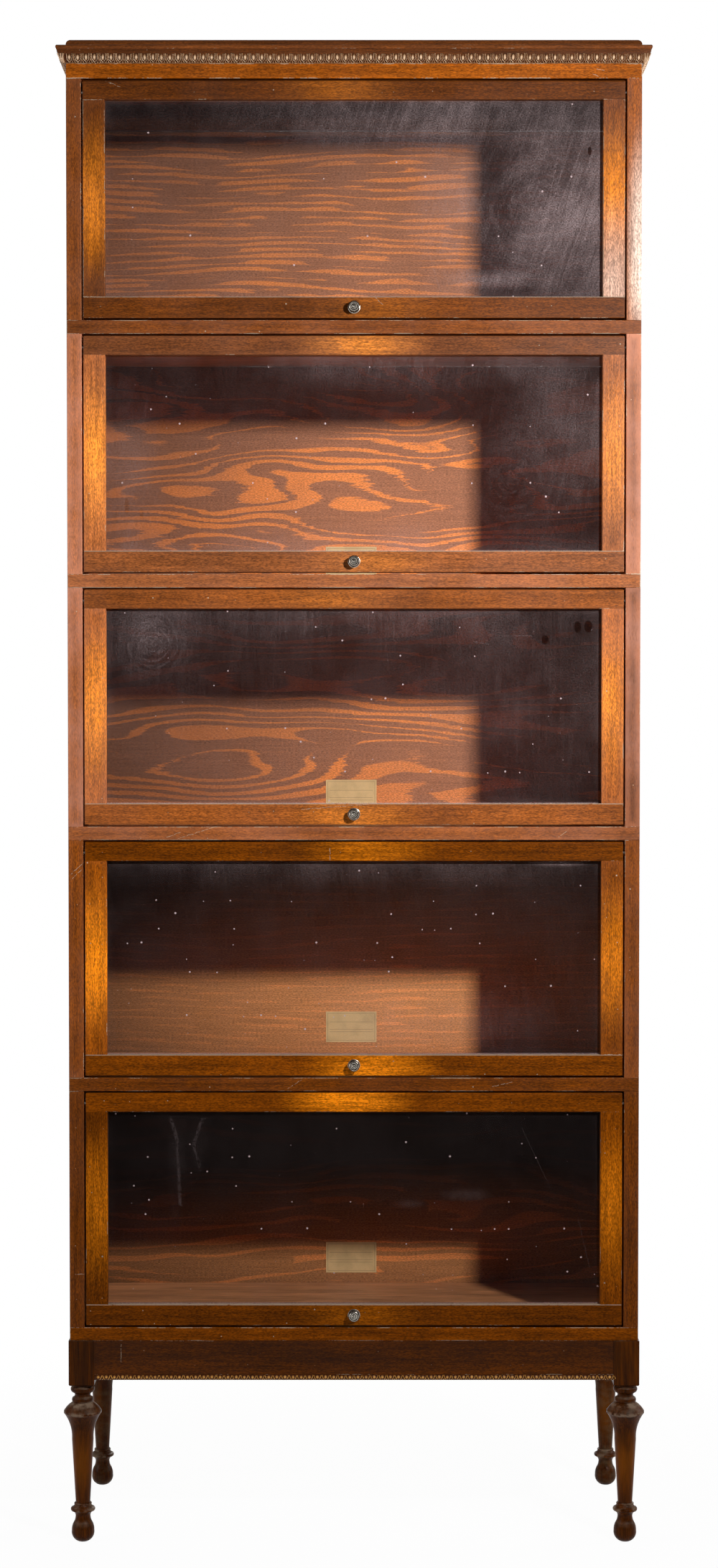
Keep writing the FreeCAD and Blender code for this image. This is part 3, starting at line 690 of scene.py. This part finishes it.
# Section by section: how light its top and bottom rail, its bottom board, its left and right stile and its
# left and right side are, how warm and how glossy the wood is, and how much bloom lies on it
rail_shade = {1: (0.105, 0.128), 2: (0.14, 0.24), 3: (0.22, 0.285), 4: (0.15, 0.20), 5: (0.17, 0.12)}
board_shade = {1: 0.16, 2: 0.29, 3: 0.27, 4: 0.15, 5: 0.18}
stile_shade = {1: (0.12, 0.15), 2: (0.42, 0.26), 3: (0.38, 0.36), 4: (0.30, 0.18), 5: (0.12, 0.18)}
side_shade = {1: (0.17, 0.26), 2: (0.42, 0.18), 3: (0.33, 0.12), 4: (0.22, 0.18), 5: (0.145, 0.14)}
section_warmth = {1: 0.85, 2: 0.35, 3: 0.65, 4: 1.0, 5: 1.0}
section_gloss = {1: 0.14, 2: 0.16, 3: 0.14, 4: 0.06, 5: 0.05}
rail_bloom = {1: 0.02, 2: 0.06, 3: 0.04, 4: 0.0, 5: 0.0}
board_bloom = {1: 0.1, 2: 0.14, 3: 0.2, 4: 0.03, 5: 0.0}
stile_bloom = {1: 0.06, 2: 0.12, 3: 0.18, 4: 0.04, 5: 0.0}
side_bloom = {1: 0.1, 2: 0.6, 3: 0.5, 4: 0.12, 5: 0.04}

# The shaded finish is lighter half way along each member: strength on the left and right stile
stile_glow = {1: (0.6, 0.55), 2: (1.0, 0.5), 3: (0.95, 0.65), 4: (0.95, 0.5), 5: (0.48, 0.45)}
stile_glow_reach = (0.3, everywhere, 0.14)

# The same on the top and the bottom rail: place along the rail and strength
rail_glow = {1: ((-0.02, 0.18), (0.03, 0.12)), 2: ((0.01, 0.5), (0.03, 0.2)), 3: ((-0.03, 0.15), (0.0, 0.4)),
             4: ((0.02, 0.38), (0.03, 0.8)), 5: ((-0.01, 1.0), (0.0, 0.16))}
rail_glow_reach = (0.12, everywhere, 0.12)

# Scratches on the wood: x and height over the foot of the first board, at the start and at the end
side_marks = {4: ((-0.428, 0.3089, -0.409, 0.3268), (-0.428, 0.3005, -0.412, 0.3165)),
              5: ((-0.4228, 0.0815, -0.4097, 0.0815),)}
board_marks = {3: ((-0.266, 0.0025, -0.212, 0.0195), (-0.283, 0.004, -0.262, 0.012),
                   (0.31, 0.005, 0.325, 0.017)),
               4: ((-0.1, 0.004, -0.08, 0.017), (0.21, 0.007, 0.24, 0.014))}
rail_marks = {1: ((-0.372, 0.3535, -0.364, 0.3495), (-0.366, 0.3515, -0.351, 0.3445),
                  (0.033, 0.0305, 0.043, 0.02)),
              3: ((-0.079, 0.0232, 0.0353, 0.0319),),
              4: ((-0.0365, 0.3454, -0.0366, 0.328),)}
frieze_marks = ((0.3639, 0.0137, 0.3747, 0.0116), (0.3586, 0.0062, 0.3661, 0.003))
apron_marks = ((-0.3543, 0.047, -0.3543, 0.0195),)

# How chipped the edges are: bottom boards, stiles, the top door's stiles, and what is out of reach
board_chips, stile_chips, top_stile_chips, hidden_chips = 0.57, 0.38, 0.6, 0.1

# How far behind the case front a bottom board turns dusty and the inside of the crown's hollow gets its
# painted shade
dusty_from = 0.02
hollow_shade_from = 0.012

# A painted highlight stands for the lamp's glare on the top section's right front edge: how far under
# the door's middle it is lightest, its reach and strength
glare_drop = 0.08
glare_reach = (0.03, 0.018, 0.22)
glare_strength = 0.95

# A painted highlight stands for the lamp's glare at the foot of the top door's right stile: how far over
# the sill it is lightest, its reach and strength
foot_lift = 0.02
foot_reach = (0.06, everywhere, 0.15)
foot_strength = 0.5

# Back panel looks. Painted light places each panel's painted pool of lamp light and the painted shade round
# it
ply_looks = {
    1: dict(rings=7.0, climb=86.0, figure=(2.2, 7.0), lens=(8.0, 52.0), widest=0.72, contrast=0.6,
            painted_light=(0.12, 0.5, 0.62, 0.5)),
    2: dict(rings=13.0, climb=34.0, figure=(2.8, 13.0), lens=(3.2, 13.0), widest=0.8, contrast=0.8,
            painted_light=(0.14, 0.42, 0.6, 0.45)),
    3: dict(rings=12.0, climb=34.0, figure=(2.0, 11.0), lens=(3.0, 15.0), widest=0.66, contrast=0.8,
            shade=0.88, painted_light=(0.08, 0.4, 0.57, 0.38)),
    4: dict(rings=6.0, climb=70.0, figure=(2.0, 6.0), lens=(11.0, 90.0), widest=0.5, contrast=0.2, shade=1.6,
            ground=ply_tan, painted_light=(0.09, 0.27, 0.8, 0.06)),
    5: dict(rings=9.0, climb=46.0, figure=(2.4, 9.0), lens=(4.5, 30.0), widest=0.6, contrast=0.5,
            ground=ply_tan, painted_light=(0.05, 0.16, 0.95, 0.03)),
}
pane_looks = {
    1: dict(haze=0.033, specks_share=0.15,
            smears=((0.335, 0.146, 0.15, 0.24, 7.0), (0.17, 0.116, 0.12, 0.16, 3.0),
                    (0.08, 0.286, 0.34, 0.08, 6.0), (0.22, 0.034, 0.12, 0.02, 4.0)),
            swirls=((0.27, 0.146, 0.13, 0.16, 1.9),),
            wiped=((0.3543, 0.2255, 0.005, 0.012),),
            marks=((0.3045, 0.2073, 0.2942, 0.1591, 0.4), (0.3125, 0.1973, 0.2992, 0.1491, 0.4),
                   (0.10, 0.116, 0.13, 0.016, 0.2), (-0.17, 0.256, -0.09, 0.288, 0.12))),
    2: dict(haze=0.026, specks_share=0.2,
            smears=((0.33, 0.197, 0.16, 0.2, 2.6), (0.0, 0.007, 0.5, 0.05, 3.0),
                    (-0.34, 0.097, 0.07, 0.2, 2.5), (0.08, 0.287, 0.3, 0.05, 3.0)),
            swirls=((0.24, 0.117, 0.12, 0.13, 0.9),),
            wiped=((-0.343, 0.075, 0.006, 0.022), (-0.321, 0.063, 0.005, 0.014))),
    3: dict(haze=0.034, specks_share=0.25,
            smears=((-0.31, 0.248, 0.09, 0.08, 2.0), (0.25, 0.178, 0.2, 0.18, 0.8),
                    (0.0, 0.298, 0.6, 0.07, 2.0)),
            swirls=((-0.305, 0.25, 0.075, 0.075, 2.6),),
            wiped=((0.354, 0.274, 0.011, 0.016), (0.338, 0.273, 0.010, 0.015), (0.289, 0.254, 0.010, 0.012)),
            marks=((0.181, 0.251, 0.205, 0.247, 0.2), (0.229, 0.26, 0.268, 0.26, 0.16))),
    4: dict(haze=0.022, specks_share=0.4,
            smears=((0.1, 0.059, 0.25, 0.1, 3.0), (0.0, 0.299, 0.6, 0.05, 3.0),
                    # The last smear here is a painted glint: a thin bright streak at the top right of the
                    # pane
                    (0.31, 0.298, 0.06, 0.008, 14.0))),
    5: dict(haze=0.012, specks_share=0.35,
            smears=((-0.269, 0.215, 0.02, 0.1, 1.2), (-0.236, 0.25, 0.02, 0.06, 0.9),
                    (0.17, 0.173, 0.05, 0.014, 4.0), (0.085, 0.159, 0.03, 0.01, 3.5),
                    (0.0, 0.03, 0.4, 0.05, 1.6)),
            runs=((-0.2778, 0.288, -0.2689, 0.257, 0.09), (-0.2689, 0.257, -0.2644, 0.158, 0.08),
                  (-0.231, 0.288, -0.2444, 0.248, 0.07), (-0.2444, 0.248, -0.2333, 0.212, 0.07)),
            marks=((0.2554, 0.2745, 0.30, 0.18, 0.07), (0.34, 0.14, 0.3589, 0.0611, 0.08))),
}


def section_lines(number):
    """Lines of one section's door: its heights, its back, the glass that shows and the middle of that."""
    low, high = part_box("door_%d_rails" % number)
    glass_low, glass_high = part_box("door_%d_glass" % number)
    return SimpleNamespace(door_low=low.z, door_high=high.z, door_back=high.y,
                           sight_low=glass_low.z + glass_cover, sight_high=glass_high.z - glass_cover,
                           middle=(glass_low.z + glass_high.z) / 2)


def section_look(number):
    return dict(warmth=section_warmth[number], gloss=section_gloss[number])


def section_glow(number):
    return between(brown_glow, amber_glow, section_warmth[number])


def dress_case(number):
    """Bottom board, sides and back panel of one section. The top section's right front edge has a painted
    highlight.
    """
    section = "section_%d_" % number
    board, sides, panel = section + "bottom_board", section + "sides", section + "back_panel"
    look = section_look(number)
    in_mahogany(board, outer_box(board), shade=board_shade[number], bloom=board_bloom[number],
                chips=board_chips, inside=(case_front + dusty_from, dusty_wood),
                marks=board_marks.get(number, ()), seed=number, **look)
    low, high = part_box(sides)
    glare = []
    # A painted highlight: the lamp's glare on the top section's right front edge
    if number == 1:
        lightest = (half_width, case_front, section_lines(number).middle - glare_drop)
        glare.append((lightest, glare_reach, glare_strength, painted_side_glare))
    left, right = side_shade[number]
    boards = twin((inner_half, low.y, low.z), (half_width, high.y, high.z))
    in_mahogany(sides, boards, upright=True, shade=left, other=right, deep=0.15 + 0.15 * (left + right),
                bloom=side_bloom[number], glows=glare, marks=side_marks.get(number, ()), seed=number + 0.2,
                **look)
    wear(panel, back_ply(panel, number, **ply_looks[number]))


def dress_stiles(stiles, number):
    """Upright members of one door. The top door's right one has a painted highlight and chips at its foot."""
    at = section_lines(number)
    stile_x = (sight_half + door_half) / 2
    glows = [((side * stile_x, case_front, at.middle), stile_glow_reach, strength, section_glow(number))
             for side, strength in zip((-1, 1), stile_glow[number])]
    chips = stile_chips
    # A painted highlight: the lamp's glare at the foot of the top door's right stile
    if number == 1:
        foot = (stile_x, case_front, at.sight_low + foot_lift)
        glows.append((foot, foot_reach, foot_strength, painted_stile_glare))
        chips = top_stile_chips
    left, right = stile_shade[number]
    boards = twin((sight_half, case_front, at.sight_low), (door_half, at.door_back, at.sight_high))
    in_mahogany(stiles, boards, upright=True, shade=left, other=right, bloom=stile_bloom[number], chips=chips,
                glows=glows, seed=number + 0.4, **section_look(number))


def dress_rails(rails, number):
    """Bottom and top member of one door."""
    at = section_lines(number)
    boards = [((-door_half, case_front, low), (door_half, at.door_back, high))
              for low, high in ((at.door_low, at.sight_low), (at.sight_high, at.door_high))]
    glows = [((along, case_front, height), rail_glow_reach, strength, section_glow(number))
             for height, (along, strength) in zip((at.door_high, at.door_low), rail_glow[number])]
    top, bottom = rail_shade[number]
    in_mahogany(rails, boards, shade=top, other=bottom, bloom=rail_bloom[number], sill=at.sight_low,
                glows=glows, marks=rail_marks.get(number, ()), seed=number + 0.6, **section_look(number))


def dress_door(number):
    """One door with its pane, glazing beads and knob."""
    door = "door_%d_" % number
    dress_stiles(door + "stiles", number)
    dress_rails(door + "rails", number)
    glass, beads, knob = door + "glass", door + "glazing_beads", door + "knob"
    wear(glass, dusty_glass(glass, number, **pane_looks[number]))
    in_mahogany(beads, outer_box(beads), shade=0.6 * rail_shade[number][0], chips=hidden_chips,
                seed=number + 0.8)
    wear(knob, knob_metal(knob))


def dress_crown_and_base():
    """Boards and mouldings of the crown and of the base, and the legs."""
    # The inside of the crown's frieze is painted dark as shade
    hollow_shade = (case_front + hollow_shade_from, painted_hollow_shade)
    apron_foot = ((0.0, 0.0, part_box("aprons")[0].z), (everywhere, everywhere, 0.03), 0.5,
                  shaded(mahogany_amber, 0.12))
    looks = {
        "crown_frieze": dict(shade=0.32, warmth=0.95, bloom=0.01, chips=0.5, marks=frieze_marks,
                             inside=hollow_shade),
        "crown_lip": dict(shade=0.15, bloom=0.02, chips=0.5),
        "crown_top_board": dict(shade=0.11, warmth=0.6, bloom=0.02, chips=0.46, deep=0.32),
        # The bed moulding under the carving is painted dark as the shade in the carving's hollows
        "crown_bed_moulding": dict(shade=0.09, bloom=0.02, chips=hidden_chips),
        "aprons": dict(shade=0.055, warmth=1.0, bloom=0.0, marks=apron_marks, glows=[apron_foot]),
        "apron_beads": dict(shade=0.05, bloom=0.02, chips=hidden_chips),
    }
    for part, look in looks.items():
        in_mahogany(part, outer_box(part), gloss=0.1, seed=len(part), **look)
    for place, shade, dust in (("front_left", 0.055, 0.03), ("front_right", 0.065, 0.03),
                               ("back_left", 0.05, 0.4), ("back_right", 0.05, 0.4)):
        part = "leg_" + place
        wear(part, turned_mahogany(part, shade, dust, seed=len(place)))


def dress_fittings():
    """What the cabinet is fitted with: runners, carriages, screws, labels, dowels and corner blocks."""
    in_mahogany("door_runners", outer_box("door_runners"), shade=0.25, chips=hidden_chips, seed=3.3)
    wear("paper_labels", label_paper())
    steel = plain_steel()
    for part in ["wood_screws"] + ["carriage_%d" % number for number in sections]:
        wear(part, steel)
    bare = bare_wood()
    for part in ("locating_dowels", "corner_blocks"):
        wear(part, bare)


# Carving


# The share of its rise that a carved shape is sunk in the wood, and how pale the ends of a rib are painted,
# for rubbed wear and painted highlight
sunk = 0.15
end_crest = 0.68


class Carving:
    """One carved motif: low closed shapes laid over a moulding by run, share of its height and rise."""

    def __init__(self, surface):
        self.surface = surface
        self.points = []
        self.crests = []
        self.faces = []

    # A point's crest sets its painted tone: 0 gives the painted shade of a hollow, 1 a painted highlight with
    # rubbed wear
    def point(self, run, share, rise, crest):
        self.points.append(Vector(self.surface(run, share, rise)))
        self.crests.append(crest)
        return len(self.points) - 1

    def egg(self, run, share, half_run, half_share, rise, around=8):
        """A dome with two rings of points, closed below."""
        rings = []
        for size, lift, crest in ((1.0, -sunk, 0.0), (0.74, 0.7, 0.45)):
            ring = []
            for i in range(around):
                turn = math.tau * i / around
                ring.append(self.point(run + size * half_run * math.cos(turn),
                                       share + size * half_share * math.sin(turn), lift * rise, crest))
            rings.append(ring)
        top = self.point(run, share, rise, 1.0)
        outer, inner = rings
        for i in range(around):
            j = (i + 1) % around
            self.faces.append((outer[i], outer[j], inner[j], inner[i]))
            self.faces.append((inner[i], inner[j], top))
        self.faces.append(tuple(reversed(outer)))

    def rib(self, path, width, rise, face_height):
        """A ridge along a path of run and share on a face of that height, closed at both ends."""
        rows = []
        last = len(path) - 1
        for i, (run, share) in enumerate(path):
            ahead = path[min(i + 1, last)]
            behind = path[max(i - 1, 0)]
            along = Vector((ahead[0] - behind[0], (ahead[1] - behind[1]) * face_height)).normalized()
            side = (along.y * width / 2, -along.x * width / 2 / face_height)
            rubbed_and_highlit = 1.0 if 0 < i < last else end_crest
            rows.append((self.point(run - side[0], share - side[1], -sunk * rise, 0.1),
                         self.point(run, share, rise, rubbed_and_highlit),
                         self.point(run + side[0], share + side[1], -sunk * rise, 0.1)))
        for first, second in zip(rows, rows[1:]):
            for a, b in ((0, 1), (1, 2), (2, 0)):
                self.faces.append((first[a], second[a], second[b], first[b]))
        self.faces.append(rows[0])
        self.faces.append(tuple(reversed(rows[-1])))

    def finished(self, name):
        """The motif as an object whose points keep their crest value, which sets painted shade and highlight,
        as the attribute relief.
        """
        mesh = bpy.data.meshes.new(name)
        mesh.from_pydata(self.points, [], self.faces)
        relief = mesh.attributes.new("relief", "FLOAT", "POINT")
        for i, crest in enumerate(self.crests):
            relief.data[i].value = crest
        shape = bmesh.new()
        shape.from_mesh(mesh)
        bmesh.ops.recalc_face_normals(shape, faces=shape.faces)
        shape.to_mesh(mesh)
        shape.free()
        return new_object(name, mesh)


border_runs = ("Front", "Right", "Left")


def carved_border_tree():
    """Repeats a motif along the front and both sides of the cabinet, each a little uneven."""
    tree = bpy.data.node_groups.new("carved_border", "GeometryNodeTree")
    w = Wiring(tree)
    tree.interface.new_socket("Geometry", in_out="OUTPUT", socket_type="NodeSocketGeometry")
    kinds = {"Geometry": "Geometry", "Motif": "Object", "Finish": "Material", "Unevenness": "Float",
             "Seed": "Int"}
    for run in border_runs:
        kinds.update({run + " start": "Vector", run + " step": "Vector", run + " turn": "Vector",
                      run + " count": "Int"})
    names = {}
    for label, kind in kinds.items():
        socket = tree.interface.new_socket(label, in_out="INPUT", socket_type="NodeSocket" + kind)
        names[label] = socket.identifier
    entry = tree.nodes.new("NodeGroupInput").outputs
    motif = w.node("GeometryNodeObjectInfo", {"Object": entry["Motif"]}).outputs["Geometry"]
    least = w.minus(1.0, entry["Unevenness"])
    most = w.math("ADD", 1.0, entry["Unevenness"])
    size = w.node("FunctionNodeRandomValue", data_type="FLOAT")
    for label, value in (("Min", least), ("Max", most), ("Seed", entry["Seed"])):
        for plug in size.inputs:
            if plug.name == label and plug.enabled:
                w.plug(plug, value)
    scale = next(plug for plug in size.outputs if plug.enabled)
    together = w.node("GeometryNodeJoinGeometry")
    for run in border_runs:
        inputs = {"Count": entry[run + " count"], "Start Location": entry[run + " start"],
                  "Offset": entry[run + " step"]}
        line = w.node("GeometryNodeMeshLine", inputs, mode="OFFSET").outputs["Mesh"]
        turn = w.node("FunctionNodeEulerToRotation", {"Euler": entry[run + " turn"]}).outputs["Rotation"]
        inputs = {"Points": line, "Instance": motif, "Rotation": turn, "Scale": scale}
        placed = w.node("GeometryNodeInstanceOnPoints", inputs).outputs["Instances"]
        tree.links.new(placed, together.inputs["Geometry"])
    placed = together.outputs["Geometry"]
    solid = w.node("GeometryNodeRealizeInstances", {"Geometry": placed}).outputs["Geometry"]
    inputs = {"Geometry": solid, "Material": entry["Finish"]}
    coloured = w.node("GeometryNodeSetMaterial", inputs).outputs["Geometry"]
    w.plug(tree.nodes.new("NodeGroupOutput").inputs["Geometry"], coloured)
    return tree, names


border_tree = carved_border_tree()
border_unevenness = 0.05


def carved_border(name, motif, finish, seed, runs):
    """A border of the motif as one plain mesh that rides on the cabinet.

    Each run has a start, a step, a turn and a count.
    """
    tree, names = border_tree
    holder = new_object(name + "_run", bpy.data.meshes.new(name + "_run"))
    modifier = holder.modifiers.new("carved_border", "NODES")
    modifier.node_group = tree
    values = {"Motif": motif, "Finish": finish, "Unevenness": border_unevenness, "Seed": seed}
    for run, (start, step, turn, count) in zip(border_runs, runs):
        values.update({run + " start": start, run + " step": step, run + " count": count,
                       run + " turn": (0.0, 0.0, math.radians(turn))})
    for label, value in values.items():
        modifier[names[label]] = value
    evaluated = holder.evaluated_get(bpy.context.evaluated_depsgraph_get())
    mesh = bpy.data.meshes.new_from_object(evaluated)
    mesh.name = name
    for spent in (holder, motif):
        bpy.data.objects.remove(spent)
    piece = new_object(name, mesh)
    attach(piece, "cabinet")


def border_lines(front, side, run_x, run_low, run_high, seat, pitch):
    """Start, step, turn and count of the three runs: the front, then the right and the left side."""
    lines = []
    middle = (run_low + run_high) / 2
    depth = run_high - run_low
    for x, y, length, turn in ((0.0, front, 2 * run_x, 0), (side, middle, depth, 90),
                               (-side, middle, depth, -90)):
        count = int(length / pitch)
        step = (length / count, 0.0) if turn == 0 else (0.0, math.copysign(length / count, turn))
        back = (count - 1) / 2
        lines.append(((x - back * step[0], y - back * step[1], seat), (*step, 0.0), turn, count))
    return lines


# Sizes of the bed moulding's swelling face, as on its solid, and the pitch of the eggs on it
bed_foot = 0.001
bed_top_reach = 0.011
bed_fillet = 0.004
bed_swell = 0.002
egg_pitch = 0.0124


def bed_face():
    """The swelling face: the height of its foot, its chord, and how far out and up a point over it lies."""
    low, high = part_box("crown_bed_moulding")
    rise = high.z - low.z - bed_fillet
    reach = bed_top_reach - bed_foot
    chord = math.hypot(reach, rise)

    def point(share, lift):
        swell = 4 * bed_swell * share * (1 - share) + lift
        return bed_foot + reach * share + rise / chord * swell, rise * share - reach / chord * swell

    return low.z, chord, point


def egg_and_dart(finish):
    """Eggs in their shells with a split dart between them, along the crown's bed moulding."""
    seat, chord, face = bed_face()

    def surface(run, share, lift):
        out, up = face(share, lift)
        return run, -out, up

    motif = Carving(surface)
    motif.egg(run=0.0, share=0.56, half_run=0.22 * egg_pitch, half_share=0.31, rise=0.0024)
    shell = ((-0.34, 0.88), (-0.3, 0.4), (0.0, 0.12), (0.3, 0.4), (0.34, 0.88))
    dart = ((0.5, 0.88), (0.5, 0.38))
    left_fork = ((0.5, 0.44), (0.3, 0.07))
    right_fork = ((0.5, 0.44), (0.7, 0.07))
    fillet = ((-0.5, 0.03), (0.5, 0.03))
    for path, width, rise in ((shell, 0.0018, 0.0016), (dart, 0.0021, 0.0018), (left_fork, 0.0018, 0.0015),
                              (right_fork, 0.0018, 0.0015), (fillet, 0.0013, 0.0009)):
        motif.rib([(run * egg_pitch, share) for run, share in path], width, rise, chord)
    runs = border_lines(case_front, half_width, half_width, case_front, case_back, seat, egg_pitch)
    carved_border("crown_egg_and_dart", motif.finished("egg_motif"), finish, seed=11, runs=runs)


# The fan over a corner: how far its ribs' tips lie from the mitre, and their path as shares of that and of
# the face's height
leaf_tips = (-0.0085, -0.0043, 0.0, 0.0043, 0.0085)
leaf_path = ((0.1, 0.06), (0.55, 0.5), (1.0, 0.92))
leaf_rib_width = 0.0026
leaf_rib_rise = 0.0017


def corner_leaf(name, side, finish):
    """A fan of leaf ribs over one front corner of the bed moulding, where the rows of eggs end."""
    seat, chord, face = bed_face()

    def surface(run, share, lift):
        out, up = face(share, lift)
        return side * (half_width + out + min(run, 0.0)), case_front - out + max(run, 0.0), seat + up

    leaf = Carving(surface)
    for tip in leaf_tips:
        leaf.rib([(tip * run, share) for run, share in leaf_path], leaf_rib_width, leaf_rib_rise, chord)
    piece = leaf.finished(name)
    piece.data.materials.append(finish)
    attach(piece, "cabinet")


def crown_carving():
    """The carving along the crown's bed moulding and over its two front corners."""
    # Painted shade in the hollows, the wood on the slopes, and a painted highlight with rubbed wear on the
    # crests
    finish = carved_finish("crown_carving", (0.035, 0.016, 0.008), (0.40, 0.215, 0.10), (0.95, 0.70, 0.48))
    egg_and_dart(finish)
    corner_leaf("crown_left_corner_leaf", -1, finish)
    corner_leaf("crown_right_corner_leaf", 1, finish)


# The rounding of the bead under the aprons and half a leg's block, as on the solids, and the leaves' pitch
bead_round = 0.0037
leg_block_half = 0.0195
leaf_pitch = 0.0123


def apron_leaves():
    """Small leaves with spread darts between them, along the bead under the aprons."""
    low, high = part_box("apron_beads")
    height = high.z - low.z
    flat = height - 2 * bead_round

    def surface(run, share, lift):
        past = max(abs(share - 0.5) * height - flat / 2, 0.0)
        fall = bead_round - math.sqrt(max(bead_round ** 2 - past ** 2, 0.0))
        return run, 0.85 * fall - lift, height * share

    motif = Carving(surface)
    spread = ((0.05, 0.95), (0.1, 0.7), (0.18, 0.4), (0.36, 0.05))
    for side in (-1, 1):
        path = [((0.5 + side * run) * leaf_pitch, share) for run, share in spread]
        motif.rib(path, width=0.0021, rise=0.0012, face_height=height)
    motif.egg(run=0.0, share=0.6, half_run=0.26 * leaf_pitch, half_share=0.4, rise=0.0009)
    stem = [(0.5 * leaf_pitch, share) for share in (0.34, 0.2, 0.05)]
    motif.rib(stem, width=0.0022, rise=0.0008, face_height=height)
    # Painted shade in the hollows and a painted highlight with rubbed wear on the crests
    finish = carved_finish("apron_leaves", (0.03, 0.010, 0.003), (0.26, 0.09, 0.013), (0.85, 0.44, 0.10))
    front_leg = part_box("leg_front_right")
    back_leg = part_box("leg_back_right")
    leg_x = (front_leg[0].x + front_leg[1].x) / 2
    run_low = (front_leg[0].y + front_leg[1].y) / 2 + leg_block_half
    run_high = (back_leg[0].y + back_leg[1].y) / 2 - leg_block_half
    runs = border_lines(low.y, high.x, leg_x - leg_block_half, run_low, run_high, low.z, leaf_pitch)
    carved_border("apron_leaf_carving", motif.finished("leaf_motif"), finish, seed=23, runs=runs)


# Studio


# The floor's radius, and how far from its middle the soft shadow starts to give way to white and has gone
floor_radius = 40.0
shadow_from, shadow_to = 0.4, 1.4


def white_floor():
    """A pale floor that is white to the camera away from the cabinet and keeps its soft shadow near it."""
    mesh = bpy.data.meshes.new("floor")
    shape = bmesh.new()
    bmesh.ops.create_circle(shape, cap_ends=True, radius=floor_radius, segments=96)
    shape.to_mesh(mesh)
    shape.free()
    floor = new_object("floor", mesh)
    material, w, shader = finish_of("pale_floor")
    w.fill(shader, {"Base Color": (0.88, 0.88, 0.88), "Roughness": 0.9, "Specular IOR Level": 0.0})
    path = w.node("ShaderNodeLightPath").outputs
    away = w.step(w.vector("LENGTH", w.place()), shadow_from, shadow_to, 0.97, 1.0)
    looked_at = w.highest(path["Is Camera Ray"], path["Is Glossy Ray"], path["Is Transmission Ray"])
    white = w.node("ShaderNodeEmission", {"Color": (1, 1, 1), "Strength": 1.0}).outputs[0]
    mixed = w.node("ShaderNodeMixShader", {"Fac": w.times(looked_at, away)})
    w.plug(mixed.inputs[1], shader.outputs[0])
    w.plug(mixed.inputs[2], white)
    w.plug(material.node_tree.nodes["Material Output"].inputs["Surface"], mixed.outputs[0])
    mesh.materials.append(material)


def white_surroundings(fill, dim_room, dim_backdrop):
    """A white backdrop to look at, a dimmer room to be mirrored from in front and a little even light."""
    world = bpy.data.worlds.new("studio")
    bpy.context.scene.world = world
    world.use_nodes = True
    w = Wiring(world.node_tree)
    path = w.node("ShaderNodeLightPath").outputs
    ahead = w.parts(w.node("ShaderNodeTexCoord").outputs["Generated"])[1]
    mirrored = w.times(path["Is Glossy Ray"], w.step(ahead, -0.3, 0.2, dim_room, dim_backdrop))
    looked_at = w.highest(path["Is Camera Ray"], path["Is Transmission Ray"], mirrored)
    w.fill(world.node_tree.nodes["Background"], {"Color": (1, 1, 1), "Strength": w.highest(looked_at, fill)})


def softbox(name, place, target, size, watts, spread=120):
    """A lamp of that size that faces its target. Its light spreads by so many degrees."""
    lamp = bpy.data.lights.new(name, "AREA")
    lamp.shape = "RECTANGLE"
    lamp.size, lamp.size_y = size
    lamp.energy = watts
    lamp.spread = math.radians(spread)
    holder = new_object(name, lamp)
    holder.location = place
    holder.rotation_euler = (Vector(target) - Vector(place)).to_track_quat("-Z", "Y").to_euler()


def studio_light():
    softbox("key", (1.364, -2.077, 2.172), (-0.05, case_front, 1.50), size=(0.16, 0.16), watts=19.6,
            spread=90)
    softbox("left_side", (-3.0, -0.95, 1.45), (-0.43, case_front, 1.3), size=(1.2, 1.6), watts=16.0)
    softbox("right_side", (4.0, 1.0, 2.2), (0.43, 0, 1.2), size=(1.5, 2.0), watts=26.0)
    softbox("back_light", (0.6, 4.5, 2.6), (0, 0.18, 1.2), size=(2.0, 2.0), watts=40.0)


# Where the photograph was taken from: in front of the case, over the floor, and degrees tipped down
eye_distance = 4.083
eye_height = 1.205
eye_tip = 1.79


def photo_camera():
    """The photograph's viewpoint: level with the middle section, tipped slightly down."""
    lens = bpy.data.cameras.new("photo_view")
    lens.sensor_width = 36.0
    lens.lens = 62.01
    lens.shift_x = 0.0032
    lens.shift_y = 0.0340
    lens.clip_end = 200.0
    camera = new_object("photo_view", lens)
    camera.location = (0.0, case_front - eye_distance, eye_height)
    camera.rotation_euler = (math.radians(90 - eye_tip), 0, 0)
    bpy.context.scene.camera = camera


for number in sections:
    dress_case(number)
    dress_door(number)
dress_crown_and_base()
dress_fittings()
crown_carving()
apron_leaves()
white_floor()
white_surroundings(fill=0.012, dim_room=0.1, dim_backdrop=0.45)
studio_light()
photo_camera()
bpy.context.scene.view_settings.view_transform = "Standard"
